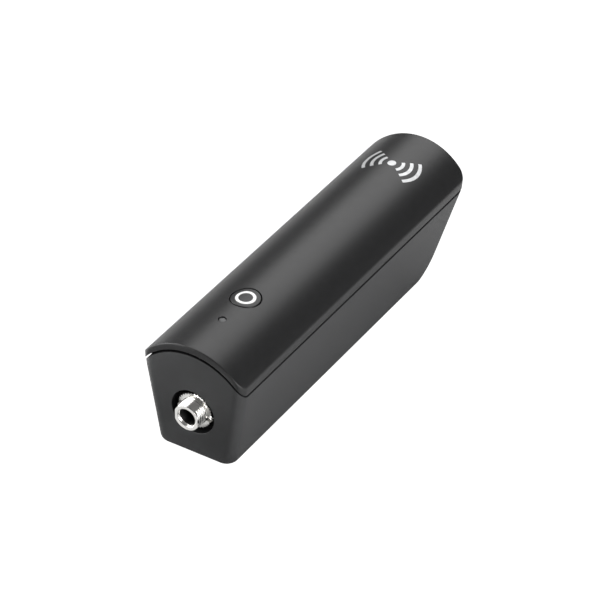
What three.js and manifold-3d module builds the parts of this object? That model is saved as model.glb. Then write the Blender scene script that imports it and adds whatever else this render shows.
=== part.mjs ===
// Pocket transmitter for a microphone: a tapered plastic tub with a curved lid, a locking
// 3.5 mm socket in the front face, a button and a status light in the lid, and the
// electronics and the cell inside. Millimetres, +Z up, the socket faces -Y. The model is laid
// out with its front face at y = 0 and its underside at z = 0, and moved at the end so that
// the middle of its outline is over the origin.
import * as THREE from 'three';
import { mergeVertices } from 'three/addons/utils/BufferGeometryUtils.js';
import Module from 'manifold-3d';

const wasm = await Module();
wasm.setup();

// ---------------------------------------------------------------- driving dimensions (mm)

// Outline of the two shells
const bodyWidth = 24; // across the seam
const bodyLength = 87.7; // front face to the far corner of the seam
const undersideWidth = 18.1; // where the side faces would meet the underside
const seamHeight = 18.1; // top edge of the side walls
const seamRise = 6.45; // arch of the seam over the front wall
const coverRise = 6.15; // arch of the lid's top over its own side edges
const coverEdge = 1.85; // height of the lid's side edge
const farSlant = THREE.MathUtils.degToRad(27.6); // far face of the shell, from upright
const farOverhang = THREE.MathUtils.degToRad(10.7); // far face of the lid, from upright
const farFillet = 9.8; // far face into the underside
const shellCorner = 2.2; // upright corners of the shell
const coverCorner = 1.8; // upright corners of the lid
const undersideEdge = 0.8; // side faces into the underside
const frontEdge = 0.2; // front face into the underside

// Walls and the seam between the shells
const wall = 1.8;
const seamGap = 0.4;
const rim = 0.8; // full-height rim round the lid's underside
const rimHeight = 0.6;
const tongueRise = 0.7; // tongue of the shell above the seam
const clearance = 0.3; // between pieces that pass or face each other
const seat = 0.05; // between pieces that rest on each other

// Locking socket in the front face
const socketHeight = 10.4; // axis above the underside
const threadDiameter = 5.9;
const socketBore = 3.6;
const socketReach = 2.3; // bushing beyond the front face
const recessRoom = 0.9; // round the nut in its recess
const recessDepth = 2;
const recessFloor = 1.4; // wall left behind the recess
const nutRim = 1.25; // nut beyond the thread
const nutThickness = 1.4;
const nutSlot = 1; // width of the two driver slots
const nutTeeth = 36;
const toothDepth = 0.35;
const nutTurn = 15; // degrees, right end of the slots lower
const washerThickness = 0.4;
const flangeThickness = 1;
const flangeRim = 0.95; // inner flange beyond the thread
const housingSize = 8;
const housingLength = 11.5;
const contactThickness = 0.3;
const contactWidth = 1.4;

// Button and status light in the lid
const buttonPlace = 19.7; // from the front face
const buttonHole = 6.7;
const buttonTravel = 0.4;
const buttonFlange = 0.8;
const flangeReach = 0.9; // flange beyond the cap
const stemDiameter = 2.6;
const lightPlace = 11.2; // from the front face
const lightHole = 1.7;
const lightRecess = 0.2; // top of the light pipe below the lid's top
const collarThickness = 0.8;
const collarRim = 0.8; // collar beyond the pipe

// Circuit board and what stands on it
const boardHeight = 14.6; // underside of the board
const boardThickness = 1;
const postDiameter = 3.4;
const screwDiameter = 1.6;
const screwHead = 3;
const screwHeadHeight = 0.9;
const screwLength = 5;
const switchSize = 5.2;
const switchHeight = 3;
const plungerDiameter = 3;
const plungerHeight = 1.75; // above the switch body
const shieldWall = 0.25;
const shieldHeight = 2.2;

// Cell and its wiring
const cellSideRoom = 0.7;
const padThickness = 0.5;
const upperPadThickness = 2;
const leadRoom = 4.4; // between the cell and its plug
const leadDiameter = 0.9;
const leadSpread = 1.2; // each lead from the middle

// Charging socket in the far face
const portWidth = 8.94;
const portHeight = 3.26;
const portLength = 7.35;
const portWall = 0.3;
const pocketWidth = 12.6; // room for a plug's grip
const pocketHeight = 6.8;
const pocketFloor = 1.2; // wall left behind the pocket
const pocketCorner = 2.2;
const portSetback = 0.2; // mouth behind the pocket's floor

// Snap hooks of the lid
const hookLength = 5;
const hookThickness = 1;
const hookCatch = 0.55;
const hookReach = 4; // below the seam
const hookFromPost = 12; // along the body, middle to middle

// ---------------------------------------------------------------- sizes that follow

const halfWidth = bodyWidth / 2;
const halfUnderside = undersideWidth / 2;
const sideAngle = Math.atan2(halfWidth - halfUnderside, seamHeight);
const coverSide = seamHeight + seamGap + coverEdge; // top of the lid's side edge
const topHeight = coverSide + coverRise;
const slantFoot = bodyLength - Math.tan(farSlant) * seamHeight;
const filletCentre = slantFoot - farFillet * Math.tan((Math.PI / 2 - farSlant) / 2);
const nutDiameter = threadDiameter + 2 * nutRim;
const recessDiameter = nutDiameter + 2 * recessRoom;
const flangeDiameter = threadDiameter + 2 * flangeRim;
const wallBack = recessDepth + recessFloor; // inside of the front wall at the socket
const boardTop = boardHeight + boardThickness;
const cellFloor = wall + seat + padThickness + seat;
const cellThickness = boardHeight - upperPadThickness - 2 * seat - cellFloor;
const portMiddle = boardHeight - seat - portHeight / 2;

// ---------------------------------------------------------------- materials

const finish = (color, roughness, metalness = 0) =>
  new THREE.MeshStandardMaterial({ color, roughness, metalness });

const blackCover = finish(0x1d1d1f, 0.42);
const blackShell = finish(0x2f3031, 0.62);
const darkPlastic = finish(0x101011, 0.5);
const nickel = finish(0xc9c9c6, 0.22, 1);
const tinned = finish(0xb7b9bb, 0.35, 1);
const bronze = finish(0xb98d4f, 0.35, 1);
const steel = finish(0x8c8d8f, 0.35, 1);
const boardMask = finish(0x14402a, 0.5);
const chipResin = finish(0x18181a, 0.6);
const ceramic = finish(0xd9d2c3, 0.6);
const clearAcrylic = finish(0xdfe4e2, 0.15);
const cellWrap = finish(0x2a5c8c, 0.4);
const greyFoam = finish(0x4a4a4a, 0.95);
const whiteNylon = finish(0xe6e3da, 0.5);
const redWire = finish(0xb3161b, 0.5);
const blackWire = finish(0x111111, 0.5);

// ---------------------------------------------------------------- solids and meshes

const model = new THREE.Group();

/** Turns a closed three.js geometry into a solid that can be joined and cut. */
function solid(geometry) {
  const bare = geometry.index ? geometry.toNonIndexed() : geometry.clone();
  bare.deleteAttribute('normal');
  bare.deleteAttribute('uv');
  const merged = mergeVertices(bare, 1e-4);
  return new wasm.Manifold(new wasm.Mesh({
    numProp: 3,
    vertProperties: new Float32Array(merged.attributes.position.array),
    triVerts: new Uint32Array(merged.index.array),
  }));
}

/** Turns a solid back into a three.js geometry. */
function geometryOf(body) {
  const { vertProperties, triVerts } = body.getMesh();
  const geometry = new THREE.BufferGeometry();
  geometry.setAttribute('position', new THREE.BufferAttribute(vertProperties, 3));
  geometry.setIndex(new THREE.BufferAttribute(triVerts, 1));
  geometry.computeVertexNormals();
  return geometry;
}

/** Adds one named piece to the model, from a geometry or a solid. */
function addPiece(name, shape, material, x = 0, y = 0, z = 0) {
  const geometry = shape.isBufferGeometry ? shape : geometryOf(shape);
  const mesh = new THREE.Mesh(geometry, material);
  mesh.name = name;
  mesh.position.set(x, y, z);
  model.add(mesh);
  return mesh;
}

/** A box given by its low corner and its size. */
function block(x, y, z, width, length, height) {
  const geometry = new THREE.BoxGeometry(width, length, height);
  return geometry.translate(x + width / 2, y + length / 2, z + height / 2);
}

/** A box centred on x and y that stands on z. */
function standing(width, length, height, x = 0, y = 0, z = 0) {
  return block(x - width / 2, y - length / 2, z, width, length, height);
}

/** A turned body about the Y axis from [radius, y] pairs, in order from the low end. */
function turned(profile, segments = 40) {
  const points = profile.map(([radius, y]) => new THREE.Vector2(radius, y));
  return new THREE.LatheGeometry(points, segments);
}

/** A turned body about the Z axis from [radius, z] pairs, in order from the bottom. */
function uprightTurned(profile, segments = 40) {
  return turned(profile, segments).rotateX(Math.PI / 2);
}

/** A plain rod along Y or, turned upright, along Z. */
const rod = (radius, low, high, segments) =>
  turned([[0, low], [radius, low], [radius, high], [0, high]], segments);
const uprightRod = (radius, low, high, segments) =>
  uprightTurned([[0, low], [radius, low], [radius, high], [0, high]], segments);

/** A tube along Y whose section closes on itself. */
const tube = (inner, outer, low, high, segments) =>
  turned([[inner, low], [outer, low], [outer, high], [inner, high], [inner, low]], segments);

/** The outline of a rectangle with rounded corners, centred on the origin. */
function roundedRectangle(width, height, corner) {
  const shape = new THREE.Shape();
  const x = width / 2 - corner;
  const y = height / 2 - corner;
  shape.absarc(x, y, corner, 0, Math.PI / 2);
  shape.absarc(-x, y, corner, Math.PI / 2, Math.PI);
  shape.absarc(-x, -y, corner, Math.PI, 1.5 * Math.PI);
  shape.absarc(x, -y, corner, 1.5 * Math.PI, 2 * Math.PI);
  shape.closePath();
  return shape;
}

/** Extrudes an outline drawn in X and Z along Y, from low to high. */
function alongY(shape, low, high, curveSegments = 6) {
  const depth = high - low;
  const geometry = new THREE.ExtrudeGeometry(shape, { depth, bevelEnabled: false, curveSegments });
  return geometry.rotateX(Math.PI / 2).translate(0, high, 0);
}

// ---------------------------------------------------------------- the shells' outline

/** How far a rounded lower edge pulls a face in at a height above that edge. */
const rounding = (height, radius) => {
  if (height >= radius) return 0;
  return radius - Math.sqrt(radius ** 2 - (radius - Math.max(height, 0)) ** 2);
};

/** Half the width at height z, for a surface that lies inset from the outside. */
function sideAt(z, inset) {
  const taper = Math.tan(sideAngle) * Math.max(seamHeight - z, 0);
  const edge = rounding(z - inset, Math.max(undersideEdge - inset, 0.3));
  return halfWidth - taper - inset / Math.cos(sideAngle) - edge;
}

/** Place of the front face at height z, for a surface inset from the outside. */
function frontAt(z, inset) {
  return inset + rounding(z - inset, Math.max(frontEdge - inset, 0.2));
}

/** Place of the far face at height z, for a surface inset from the outside. */
function farAt(z, inset) {
  const radius = farFillet - inset;
  const filletTop = farFillet - radius * Math.sin(farSlant);
  if (z < filletTop) {
    return filletCentre + Math.sqrt(Math.max(radius ** 2 - (farFillet - z) ** 2, 0));
  }
  if (z <= seamHeight) {
    return bodyLength - Math.tan(farSlant) * (seamHeight - z) - inset / Math.cos(farSlant);
  }
  return bodyLength + Math.tan(farOverhang) * (z - seamHeight) - inset / Math.cos(farOverhang);
}

/** Heights at which the outline is cut: close together round the lower edges. */
function levelsFrom(floor) {
  const steps = 8;
  const radius = farFillet - floor;
  const sweep = Math.PI / 2 - farSlant;
  const arc = Array.from({ length: steps + 1 }, (_, i) =>
    farFillet - radius * Math.cos((sweep * i) / steps));
  return [...arc, seamHeight, topHeight + 1];
}

/**
 * The whole body's block, inset from the outside, with upright corners of the given radius and
 * its floor at the same inset. Its plan is extruded and each level is then moved to its outline.
 */
function bodyBlock(inset, corner) {
  const levels = levelsFrom(inset);
  const steps = levels.length - 1;
  const radius = Math.max(corner - inset, 0.4);
  const planSize = 8 * radius;
  const plan = roundedRectangle(planSize, planSize, radius);
  const geometry = new THREE.ExtrudeGeometry(plan, {
    depth: steps, steps, bevelEnabled: false, curveSegments: 4,
  });
  const position = geometry.attributes.position;
  for (let i = 0; i < position.count; i += 1) {
    const x = position.getX(i);
    const y = position.getY(i);
    const z = levels[Math.round(position.getZ(i))];
    const fromSide = planSize / 2 - Math.abs(x);
    const fromEnd = planSize / 2 - Math.abs(y);
    const newX = Math.sign(x) * (sideAt(z, inset) - fromSide);
    const newY = y < 0 ? frontAt(z, inset) + fromEnd : farAt(z, inset) - fromEnd;
    position.setXYZ(i, newX, newY, z);
  }
  return solid(geometry);
}

/** Height of an arch at x, for an arch of a given rise over edges at a given height. */
function archAt(x, side, rise) {
  const radius = (halfWidth ** 2 + rise ** 2) / (2 * rise);
  return side + rise - radius + Math.sqrt(radius ** 2 - x ** 2);
}

const seamAt = (x) => archAt(x, seamHeight, seamRise);
const topAt = (x) => archAt(x, coverSide, coverRise);

/** All that lies under an arch, along the whole body. */
function underArch(side, rise, segments = 40) {
  const shape = new THREE.Shape();
  const reach = halfWidth + 0.5;
  shape.moveTo(reach, -1);
  for (let i = 0; i <= segments; i += 1) {
    const x = reach - (2 * reach * i) / segments;
    shape.lineTo(x, archAt(x, side, rise));
  }
  shape.lineTo(-reach, -1);
  shape.closePath();
  return solid(alongY(shape, -2, bodyLength + 6));
}

const underSeam = (raise) => underArch(seamHeight + raise, seamRise);
const underTop = () => underArch(coverSide, coverRise);

// ---------------------------------------------------------------- places along the body

/** Inside face of the side wall at height z. */
const insideAt = (z) => sideAt(z, wall);

// Charging port: a pocket in the far face with the port's mouth at its floor
const pocketBottom = portMiddle - pocketHeight / 2;
const pocketFace = farAt(pocketBottom, 0) - 0.2;
const portMouth = pocketFace - portSetback;
const portFoot = portMouth - portLength;

// Locking socket: washer, flange and housing follow one another behind the front wall
const flangeFace = wallBack + seat + washerThickness + seat;
const housingFace = flangeFace + flangeThickness + seat;
const housingBack = housingFace + housingLength;
const contactBack = housingBack + 0.6;

// Circuit board between the hooks, and the posts under it
const hookBottom = seamHeight - hookReach;
const boardWidth = 2 * (insideAt(hookBottom) - hookThickness - 2 * clearance);
const boardFront = wallBack + 2;
const boardBack = pocketFace - pocketFloor - 2 * clearance;
const postRadius = postDiameter / 2;
const postSide = boardWidth / 2 - postRadius;
const frontPostPlace = contactBack + clearance + postRadius;
const farPostPlace = portFoot - clearance - postRadius;
const postPlaces = [
  [-postSide, frontPostPlace], [postSide, frontPostPlace],
  [-postSide, farPostPlace], [postSide, farPostPlace],
];

// Cell between the front posts and its plug and board socket
const cellSocketDepth = 3.2;
const cellPlugDepth = 1.8;
const cellSocketFace = farPostPlace - postRadius - clearance - cellSocketDepth;
const cellPlugFace = cellSocketFace - seat - cellPlugDepth;
const cellFront = frontPostPlace + postRadius + clearance;
const cellBack = cellPlugFace - leadRoom;
const cellLength = cellBack - cellFront;
const cellWidth = 2 * (insideAt(cellFloor) - cellSideRoom);

/** Outline of the charging port with a margin all round, in X and Z. */
const portOutline = (margin) =>
  roundedRectangle(portWidth + 2 * margin, portHeight + 2 * margin, portHeight / 2 + margin - 0.05);

// ---------------------------------------------------------------- snap hooks

const hookMiddles = [frontPostPlace + hookFromPost, farPostPlace - hookFromPost];
const catchHeight = 1;

/** The same block at four places: both sides of the body, at both hook places. */
function onBothSides(makeBody) {
  const right = hookMiddles.map(makeBody);
  return [...right, ...right.map((body) => body.mirror([1, 0, 0]))];
}

/** Hooks that hang from the lid inside the side walls. */
function hooks() {
  const face = (z) => insideAt(z) - clearance;
  const inner = face(hookBottom) - hookThickness;
  const catchTop = hookBottom + catchHeight;
  const top = seamAt(inner) + seamGap + rimHeight + 0.1;
  const outline = new THREE.Shape([
    [inner, hookBottom], [face(hookBottom), hookBottom],
    [face(catchTop) + hookCatch, catchTop - 0.2], [face(catchTop) + hookCatch, catchTop],
    [face(catchTop), catchTop], [face(seamHeight), seamHeight], [face(seamHeight), top],
    [inner, top],
  ].map(([x, z]) => new THREE.Vector2(x, z)));
  return onBothSides((middle) => solid(
    alongY(outline, middle - hookLength / 2, middle + hookLength / 2)));
}

/** Pockets in the side walls that take the hooks' catches. */
function hookPockets() {
  const depth = insideAt(hookBottom + catchHeight) + hookCatch;
  const low = insideAt(hookBottom) - clearance;
  return onBothSides((middle) => solid(block(low, middle - hookLength / 2 - clearance,
    hookBottom - clearance, depth - low, hookLength + 2 * clearance,
    catchHeight + 2 * clearance)));
}

// ---------------------------------------------------------------- shells

/** Thicker stretches of the walls round the two sockets, inside the body's outline. */
function socketBosses(outside) {
  const front = solid(rod(recessDiameter / 2 + wall, 0, wallBack)
    .translate(0, 0, socketHeight));
  const back = solid(standing(pocketWidth + 2 * wall, 30, pocketHeight + 2 * pocketFloor, 0,
    pocketFace - pocketFloor + 15, portMiddle - pocketHeight / 2 - pocketFloor));
  return outside.intersect(front.add(back));
}

/** Recess and hole for the locking socket. */
function frontCut() {
  const recess = solid(rod(recessDiameter / 2, -1, recessDepth));
  const hole = solid(rod(threadDiameter / 2 + clearance, -1, wallBack + 1));
  return recess.add(hole).translate([0, 0, socketHeight]);
}

/** Pocket for the plug's grip and the hole for the charging port. */
function farCut() {
  const pocket = solid(alongY(roundedRectangle(pocketWidth, pocketHeight, pocketCorner), pocketFace,
    bodyLength + 4));
  const hole = solid(alongY(portOutline(clearance), pocketFace - pocketFloor - 3, pocketFace + 1));
  return pocket.add(hole).translate([0, 0, portMiddle]);
}

/** Tub with its tongue behind the seam, posts for the board, and openings for the sockets. */
function addLowerShell() {
  const outside = bodyBlock(0, shellCorner);
  const outer = outside.intersect(underSeam(0));
  const tongue = bodyBlock(rim + clearance, shellCorner).intersect(underSeam(tongueRise));
  const cavity = bodyBlock(wall, shellCorner);
  const postHole = screwDiameter / 2 + 0.1;
  const bosses = socketBosses(outside);
  const posts = postPlaces.map(([x, y]) => solid(
    uprightRod(postDiameter / 2, wall / 2, boardHeight - seat, 24)).translate([x, y, 0]));
  const holes = postPlaces.map(([x, y]) => solid(
    uprightRod(postHole, boardHeight - screwLength - 0.5, boardHeight + 1, 16))
    .translate([x, y, 0]));
  const joined = wasm.Manifold.union([outer.add(tongue).subtract(cavity), bosses, ...posts]);
  const cuts = wasm.Manifold.union([frontCut(), farCut(), ...holes, ...hookPockets()]);
  addPiece('lower_shell', joined.subtract(cuts), blackShell);
}

/** Curved lid with its rim, its hooks, and the holes for the button and the light pipe. */
function addTopCover() {
  const sheet = bodyBlock(0, coverCorner).intersect(underTop()).subtract(underSeam(seamGap));
  const hollow = bodyBlock(rim, shellCorner).intersect(underSeam(seamGap + rimHeight));
  const hole = (diameter, place) => solid(
    uprightRod(diameter / 2, seamHeight, topHeight + 1)).translate([0, place, 0]);
  const holes = wasm.Manifold.union([
    hole(buttonHole, buttonPlace), hole(lightHole, lightPlace)]);
  const body = wasm.Manifold.union([sheet.subtract(hollow), ...hooks()]).intersect(underTop());
  addPiece('top_cover', body.subtract(holes), blackCover);
}

// ---------------------------------------------------------------- locking socket

/** Threaded bushing with its inner flange; its bore guides the plug. */
function addBushing() {
  const outer = threadDiameter / 2;
  const bore = socketBore / 2;
  const chamfer = 0.25;
  const end = flangeFace + flangeThickness;
  const profile = [
    [bore, -socketReach + chamfer], [bore + chamfer, -socketReach],
    [outer - chamfer, -socketReach], [outer, -socketReach + chamfer],
    [outer, flangeFace], [flangeDiameter / 2, flangeFace], [flangeDiameter / 2, end],
    [bore, end], [bore, -socketReach + chamfer],
  ];
  addPiece('socket_bushing', turned(profile), nickel, 0, 0, socketHeight);
}

/** Toothed ring nut in the recess, with two slots for its driver. */
function addRingNut() {
  const shape = new THREE.Shape();
  const outer = nutDiameter / 2;
  for (let i = 0; i < 2 * nutTeeth; i += 1) {
    const angle = (Math.PI * i) / nutTeeth;
    const radius = outer - (i % 2 ? toothDepth : 0);
    const point = [radius * Math.cos(angle), radius * Math.sin(angle)];
    if (i) shape.lineTo(...point);
    else shape.moveTo(...point);
  }
  shape.closePath();
  const back = recessDepth - seat;
  const ring = solid(alongY(shape, back - nutThickness, back));
  const bore = solid(rod(threadDiameter / 2 + seat, -1, recessDepth + 1));
  const slots = solid(block(-nutDiameter, back - nutThickness - 1, -nutSlot / 2, 2 * nutDiameter,
    1 + nutThickness / 2, nutSlot));
  const nut = ring.subtract(bore).subtract(slots);
  addPiece('socket_ring_nut', nut.rotate([0, nutTurn, 0]), nickel, 0, 0, socketHeight);
}

/** Flat washer between the wall and the bushing's flange. */
function addWasher() {
  const low = wallBack + seat;
  const washer = tube(threadDiameter / 2 + 0.15, flangeDiameter / 2, low, low + washerThickness);
  addPiece('socket_washer', washer, steel, 0, 0, socketHeight);
}

const contactPlace = socketBore / 2 + 0.5; // inner face of a contact's straight run

/** Place of a contact's bent crest along the bore, for tip, ring and sleeve. */
const contactCrests = { tip: 12.2, ring: 9.6, sleeve: 7.4 };

/** One contact spring: a bent strip beside the bore, and a leg up to the board. */
function contactSpring(crest, legBase) {
  const near = contactPlace;
  const bump = socketBore / 2 - 0.15;
  const shape = new THREE.Shape();
  const t = contactThickness;
  shape.moveTo(near, contactBack);
  shape.lineTo(near, crest + 1.5);
  shape.lineTo(bump, crest);
  shape.lineTo(near - 0.1, crest - 1);
  shape.lineTo(near - 0.1 + t, crest - 1);
  shape.lineTo(bump + t, crest);
  shape.lineTo(near + t, crest + 1.5);
  shape.lineTo(near + t, contactBack);
  shape.closePath();
  const strip = new THREE.ExtrudeGeometry(shape, { depth: contactWidth, bevelEnabled: false });
  return solid(strip.translate(0, 0, -contactWidth / 2)).add(legBase);
}

/** Tip, ring and sleeve contacts at three sides of the bore. */
function addContacts() {
  const rise = boardHeight - seat - socketHeight;
  const side = solid(block(contactPlace, contactBack - 0.1, -contactWidth / 2, contactThickness,
    contactWidth, rise + contactWidth / 2));
  const right = contactSpring(contactCrests.ring, side);
  const left = contactSpring(contactCrests.tip, side).mirror([1, 0, 0]);
  const plain = contactSpring(contactCrests.sleeve, solid(
    block(contactPlace, contactBack - 0.2, -contactWidth / 2, contactThickness, 0.4, contactWidth)));
  const leg = solid(block(-contactWidth / 2, contactBack - contactThickness, -contactPlace - 0.2,
    contactWidth, contactThickness, contactPlace + 0.2 + rise));
  const bottom = plain.rotate([0, 90, 0]).add(leg);
  addPiece('socket_ring_contact', right, bronze, 0, 0, socketHeight);
  addPiece('socket_tip_contact', left, bronze, 0, 0, socketHeight);
  addPiece('socket_sleeve_contact', bottom, bronze, 0, 0, socketHeight);
}

/** Insulating housing with its bore and a channel for each contact. */
function addSocketHousing() {
  const half = housingSize / 2;
  const body = solid(block(-half, housingFace, -half, housingSize, housingLength, housingSize));
  const bore = solid(rod(socketBore / 2 + 0.1, housingFace - 1, housingBack - 1.2));
  const inner = socketBore / 2 - clearance;
  const channelDepth = contactPlace + contactThickness + clearance - inner;
  const channelWidth = contactWidth + 2 * clearance;
  const channel = (crest) => {
    const low = crest - 1 - clearance;
    return solid(block(inner, low, -channelWidth / 2, channelDepth, housingBack + 1 - low,
      channelWidth));
  };
  const cuts = wasm.Manifold.union([
    bore, channel(contactCrests.ring), channel(contactCrests.tip).mirror([1, 0, 0]),
    channel(contactCrests.sleeve).rotate([0, 90, 0])]);
  addPiece('socket_housing', body.subtract(cuts), darkPlastic, 0, 0, socketHeight);
}

// ---------------------------------------------------------------- board and its parts

/** Circuit board with a hole for each screw. */
function addBoard() {
  const plate = solid(block(-boardWidth / 2, boardFront, boardHeight, boardWidth,
    boardBack - boardFront, boardThickness));
  const holes = postPlaces.map(([x, y]) => solid(
    uprightRod(screwDiameter / 2 + 0.15, boardHeight - 1, boardTop + 1, 16))
    .translate([x, y, 0]));
  addPiece('circuit_board', plate.subtract(wasm.Manifold.union(holes)), boardMask);
}

/** Screws that hold the board on the shell's posts. */
function addScrews() {
  const head = boardTop + seat;
  const low = boardTop - screwLength;
  const profile = [
    [0, low], [screwDiameter / 2 - 0.3, low], [screwDiameter / 2, low + 0.4],
    [screwDiameter / 2, head], [screwHead / 2, head], [screwHead / 2, head + screwHeadHeight * 0.6],
    [screwHead / 2 - 0.4, head + screwHeadHeight], [0, head + screwHeadHeight],
  ];
  postPlaces.forEach(([x, y], index) => {
    const cross = [0, Math.PI / 2].map((turn) => solid(
      standing(1.4, 0.35, 1, 0, 0, head + screwHeadHeight - 0.4).rotateZ(turn)));
    const screw = solid(uprightTurned(profile, 20)).subtract(wasm.Manifold.union(cross));
    addPiece(`board_screw_${index + 1}`, screw, steel, x, y);
  });
}

/**
 * Rows of parts on the board's upper face, from behind the tact switch to the far end. A row is
 * its length along the body and its parts: name, finish, place across, width, length, height.
 */
const canWidth = 2 * (postSide - screwHead / 2 - clearance);
const canLength = 13;
const boardRows = [
  [4, [['audio_converter_chip', chipResin, 0, 4, 4, 0.8]]],
  [7, [['audio_processor_chip', chipResin, 0, 7, 7, 0.9]]],
  [2.5, [['crystal', tinned, 0, 3.2, 2.5, 0.7]]],
  [canLength, [['radio_chip', chipResin, 0, 5, 5, 0.9]]],
  [3, [['charger_chip', chipResin, 1.6, 2.5, 2.5, 0.8],
    ['power_inductor', chipResin, -1.6, 3, 3, 2]]],
  [3, [['chip_antenna', ceramic, 0, 9, 3, 1.2]]],
];

/** Sheet-metal can over the radio chip, open below. */
function addShield(middle) {
  const low = boardTop + seat;
  const can = solid(standing(canWidth, canLength, shieldHeight, 0, middle, low));
  const inside = solid(standing(canWidth - 2 * shieldWall, canLength - 2 * shieldWall,
    shieldHeight, 0, middle, low - shieldWall));
  addPiece('radio_shield_can', can.subtract(inside), tinned);
}

/** The rows of parts with equal gaps between them, and the can over the radio chip. */
function addBoardParts() {
  const start = buttonPlace + switchSize / 2;
  const used = boardRows.reduce((sum, [length]) => sum + length, 0);
  const gap = (boardBack - start - used) / (boardRows.length + 0.5);
  let place = start + gap;
  boardRows.forEach(([length, parts]) => {
    const middle = place + length / 2;
    parts.forEach(([name, material, x, width, depth, height]) => addPiece(name,
      standing(width, depth, height, x, middle, boardTop + seat), material));
    if (length === canLength) addShield(middle);
    place += length + gap;
  });
}

// ---------------------------------------------------------------- button and light

const switchTop = boardTop + seat + switchHeight;
const plungerTop = switchTop + plungerHeight;

/** Tact switch body with the well its plunger slides in. */
function addSwitch() {
  const body = solid(standing(switchSize, switchSize, switchHeight, 0, 0, boardTop + seat));
  const well = solid(uprightRod(plungerDiameter / 2 + clearance, switchTop - 1.6, switchTop + 1));
  addPiece('tact_switch_body', body.subtract(well), darkPlastic, 0, buttonPlace);
  const plunger = uprightRod(plungerDiameter / 2, switchTop - 0.8, plungerTop);
  addPiece('tact_switch_plunger', plunger, whiteNylon, 0, buttonPlace);
}

/** Height of the lid's hollow over a flange or collar of the given radius. */
const ceilingOver = (radius) => seamAt(radius) + seamGap + rimHeight - clearance;

/** Button cap flush with the lid, with the flange that keeps it in and the stem under it. */
function addButton() {
  const cap = buttonHole / 2 - clearance;
  const flange = cap + flangeReach;
  const flangeTop = ceilingOver(flange);
  const profile = [
    [0, plungerTop + seat], [stemDiameter / 2, plungerTop + seat],
    [stemDiameter / 2, flangeTop - buttonFlange], [flange, flangeTop - buttonFlange],
    [flange, flangeTop], [cap, flangeTop], [cap, topHeight + 1], [0, topHeight + 1],
  ];
  const body = solid(uprightTurned(profile, 48)).translate([0, buttonPlace, 0]);
  addPiece('button_cap', body.intersect(underTop()), blackCover);
}

/** Status light: the chip on the board and the light pipe up to the lid. */
function addLight() {
  const chipTop = boardTop + seat + 0.7;
  addPiece('status_led', standing(1.6, 0.8, 0.7, 0, lightPlace, boardTop + seat), ceramic);
  const pipe = lightHole / 2 - clearance;
  const collar = pipe + collarRim;
  const collarTop = ceilingOver(collar);
  const profile = [
    [0, chipTop + clearance], [pipe, chipTop + clearance], [pipe, collarTop - collarThickness],
    [collar, collarTop - collarThickness], [collar, collarTop], [pipe, collarTop],
    [pipe, topHeight - lightRecess], [0, topHeight - lightRecess],
  ];
  addPiece('light_pipe', uprightTurned(profile, 20), clearAcrylic, 0, lightPlace);
}

// ---------------------------------------------------------------- cell and wiring

/** Cell between two foam pads. */
function addCell() {
  const middle = cellFront + cellLength / 2;
  const cell = alongY(roundedRectangle(cellWidth, cellThickness, 1.6), cellFront, cellBack, 3);
  addPiece('battery_cell', cell, cellWrap, 0, 0, cellFloor + cellThickness / 2);
  addPiece('lower_foam_pad', standing(cellWidth - 3, cellLength - 6, padThickness, 0, middle,
    wall + seat), greyFoam);
  addPiece('upper_foam_pad', standing(cellWidth - 3, cellLength - 8, upperPadThickness, 0, middle,
    cellFloor + cellThickness + seat), greyFoam);
}

/** Board socket, plug, and the two leads from the cell. */
function addCellWiring() {
  const height = 2.8;
  const low = boardHeight - seat - height;
  addPiece('battery_socket', block(-2.8, cellSocketFace, low, 5.6, cellSocketDepth, height),
    whiteNylon);
  addPiece('battery_plug', block(-2.3, cellPlugFace, low + 0.3, 4.6, cellPlugDepth, 2.2),
    whiteNylon);
  const start = cellBack + seat;
  const end = cellPlugFace - seat;
  const bend = (start + end) / 2;
  const startHeight = cellFloor + cellThickness * 0.8;
  const endHeight = low + height / 2;
  [[-1, 'red', redWire], [1, 'black', blackWire]].forEach(([side, colour, material]) => {
    const x = side * leadSpread;
    const route = new THREE.CubicBezierCurve3(
      new THREE.Vector3(x, start, startHeight), new THREE.Vector3(x, bend, startHeight),
      new THREE.Vector3(x, bend, endHeight), new THREE.Vector3(x, end, endHeight));
    const section = new THREE.Shape().absarc(0, 0, leadDiameter / 2, 0, 2 * Math.PI);
    const lead = new THREE.ExtrudeGeometry(section, {
      steps: 12, curveSegments: 5, extrudePath: route,
    });
    addPiece(`battery_lead_${colour}`, solid(lead), material);
  });
}

// ---------------------------------------------------------------- charging port

/** Metal shell of the charging port and the contact tongue inside it. */
function addChargingPort() {
  const shell = solid(alongY(portOutline(0), portFoot, portMouth));
  const inside = solid(alongY(portOutline(-portWall), portFoot - 1, portMouth + 1));
  addPiece('charging_port_shell', shell.subtract(inside), tinned, 0, 0, portMiddle);
  const gap = portWall + clearance;
  const base = solid(alongY(portOutline(-gap), portFoot, portFoot + 1.6));
  const tongue = solid(block(-3.3, portFoot + 1, -0.35, 6.6, portLength - 2.4, 0.7));
  addPiece('charging_port_tongue', base.add(tongue), darkPlastic, 0, 0, portMiddle);
}

addLowerShell();
addTopCover();
addBushing();
addRingNut();
addWasher();
addSocketHousing();
addContacts();
addBoard();
addScrews();
addBoardParts();
addSwitch();
addButton();
addLight();
addCell();
addCellWiring();
addChargingPort();

// The outline runs from the bushing's rim to the lid's far edge.
model.position.y = -(farAt(topHeight, 0) - socketReach) / 2;

export default model;
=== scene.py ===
"""Looks of a pocket microphone transmitter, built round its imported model.

A tapered plastic tub carries a curved lid with a flush button and a status light, and a nickel
plated locking socket stands in the front face. Sizes are in millimetres in the classes below and
turned to metres when a mesh is made. Lengths along the body count from its front face.
"""

import logging
import math
from dataclasses import dataclass, field
from enum import Enum
from typing import Callable, Optional, Sequence

import bmesh
import bpy
import numpy as np
from mathutils import Matrix, Vector


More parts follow.
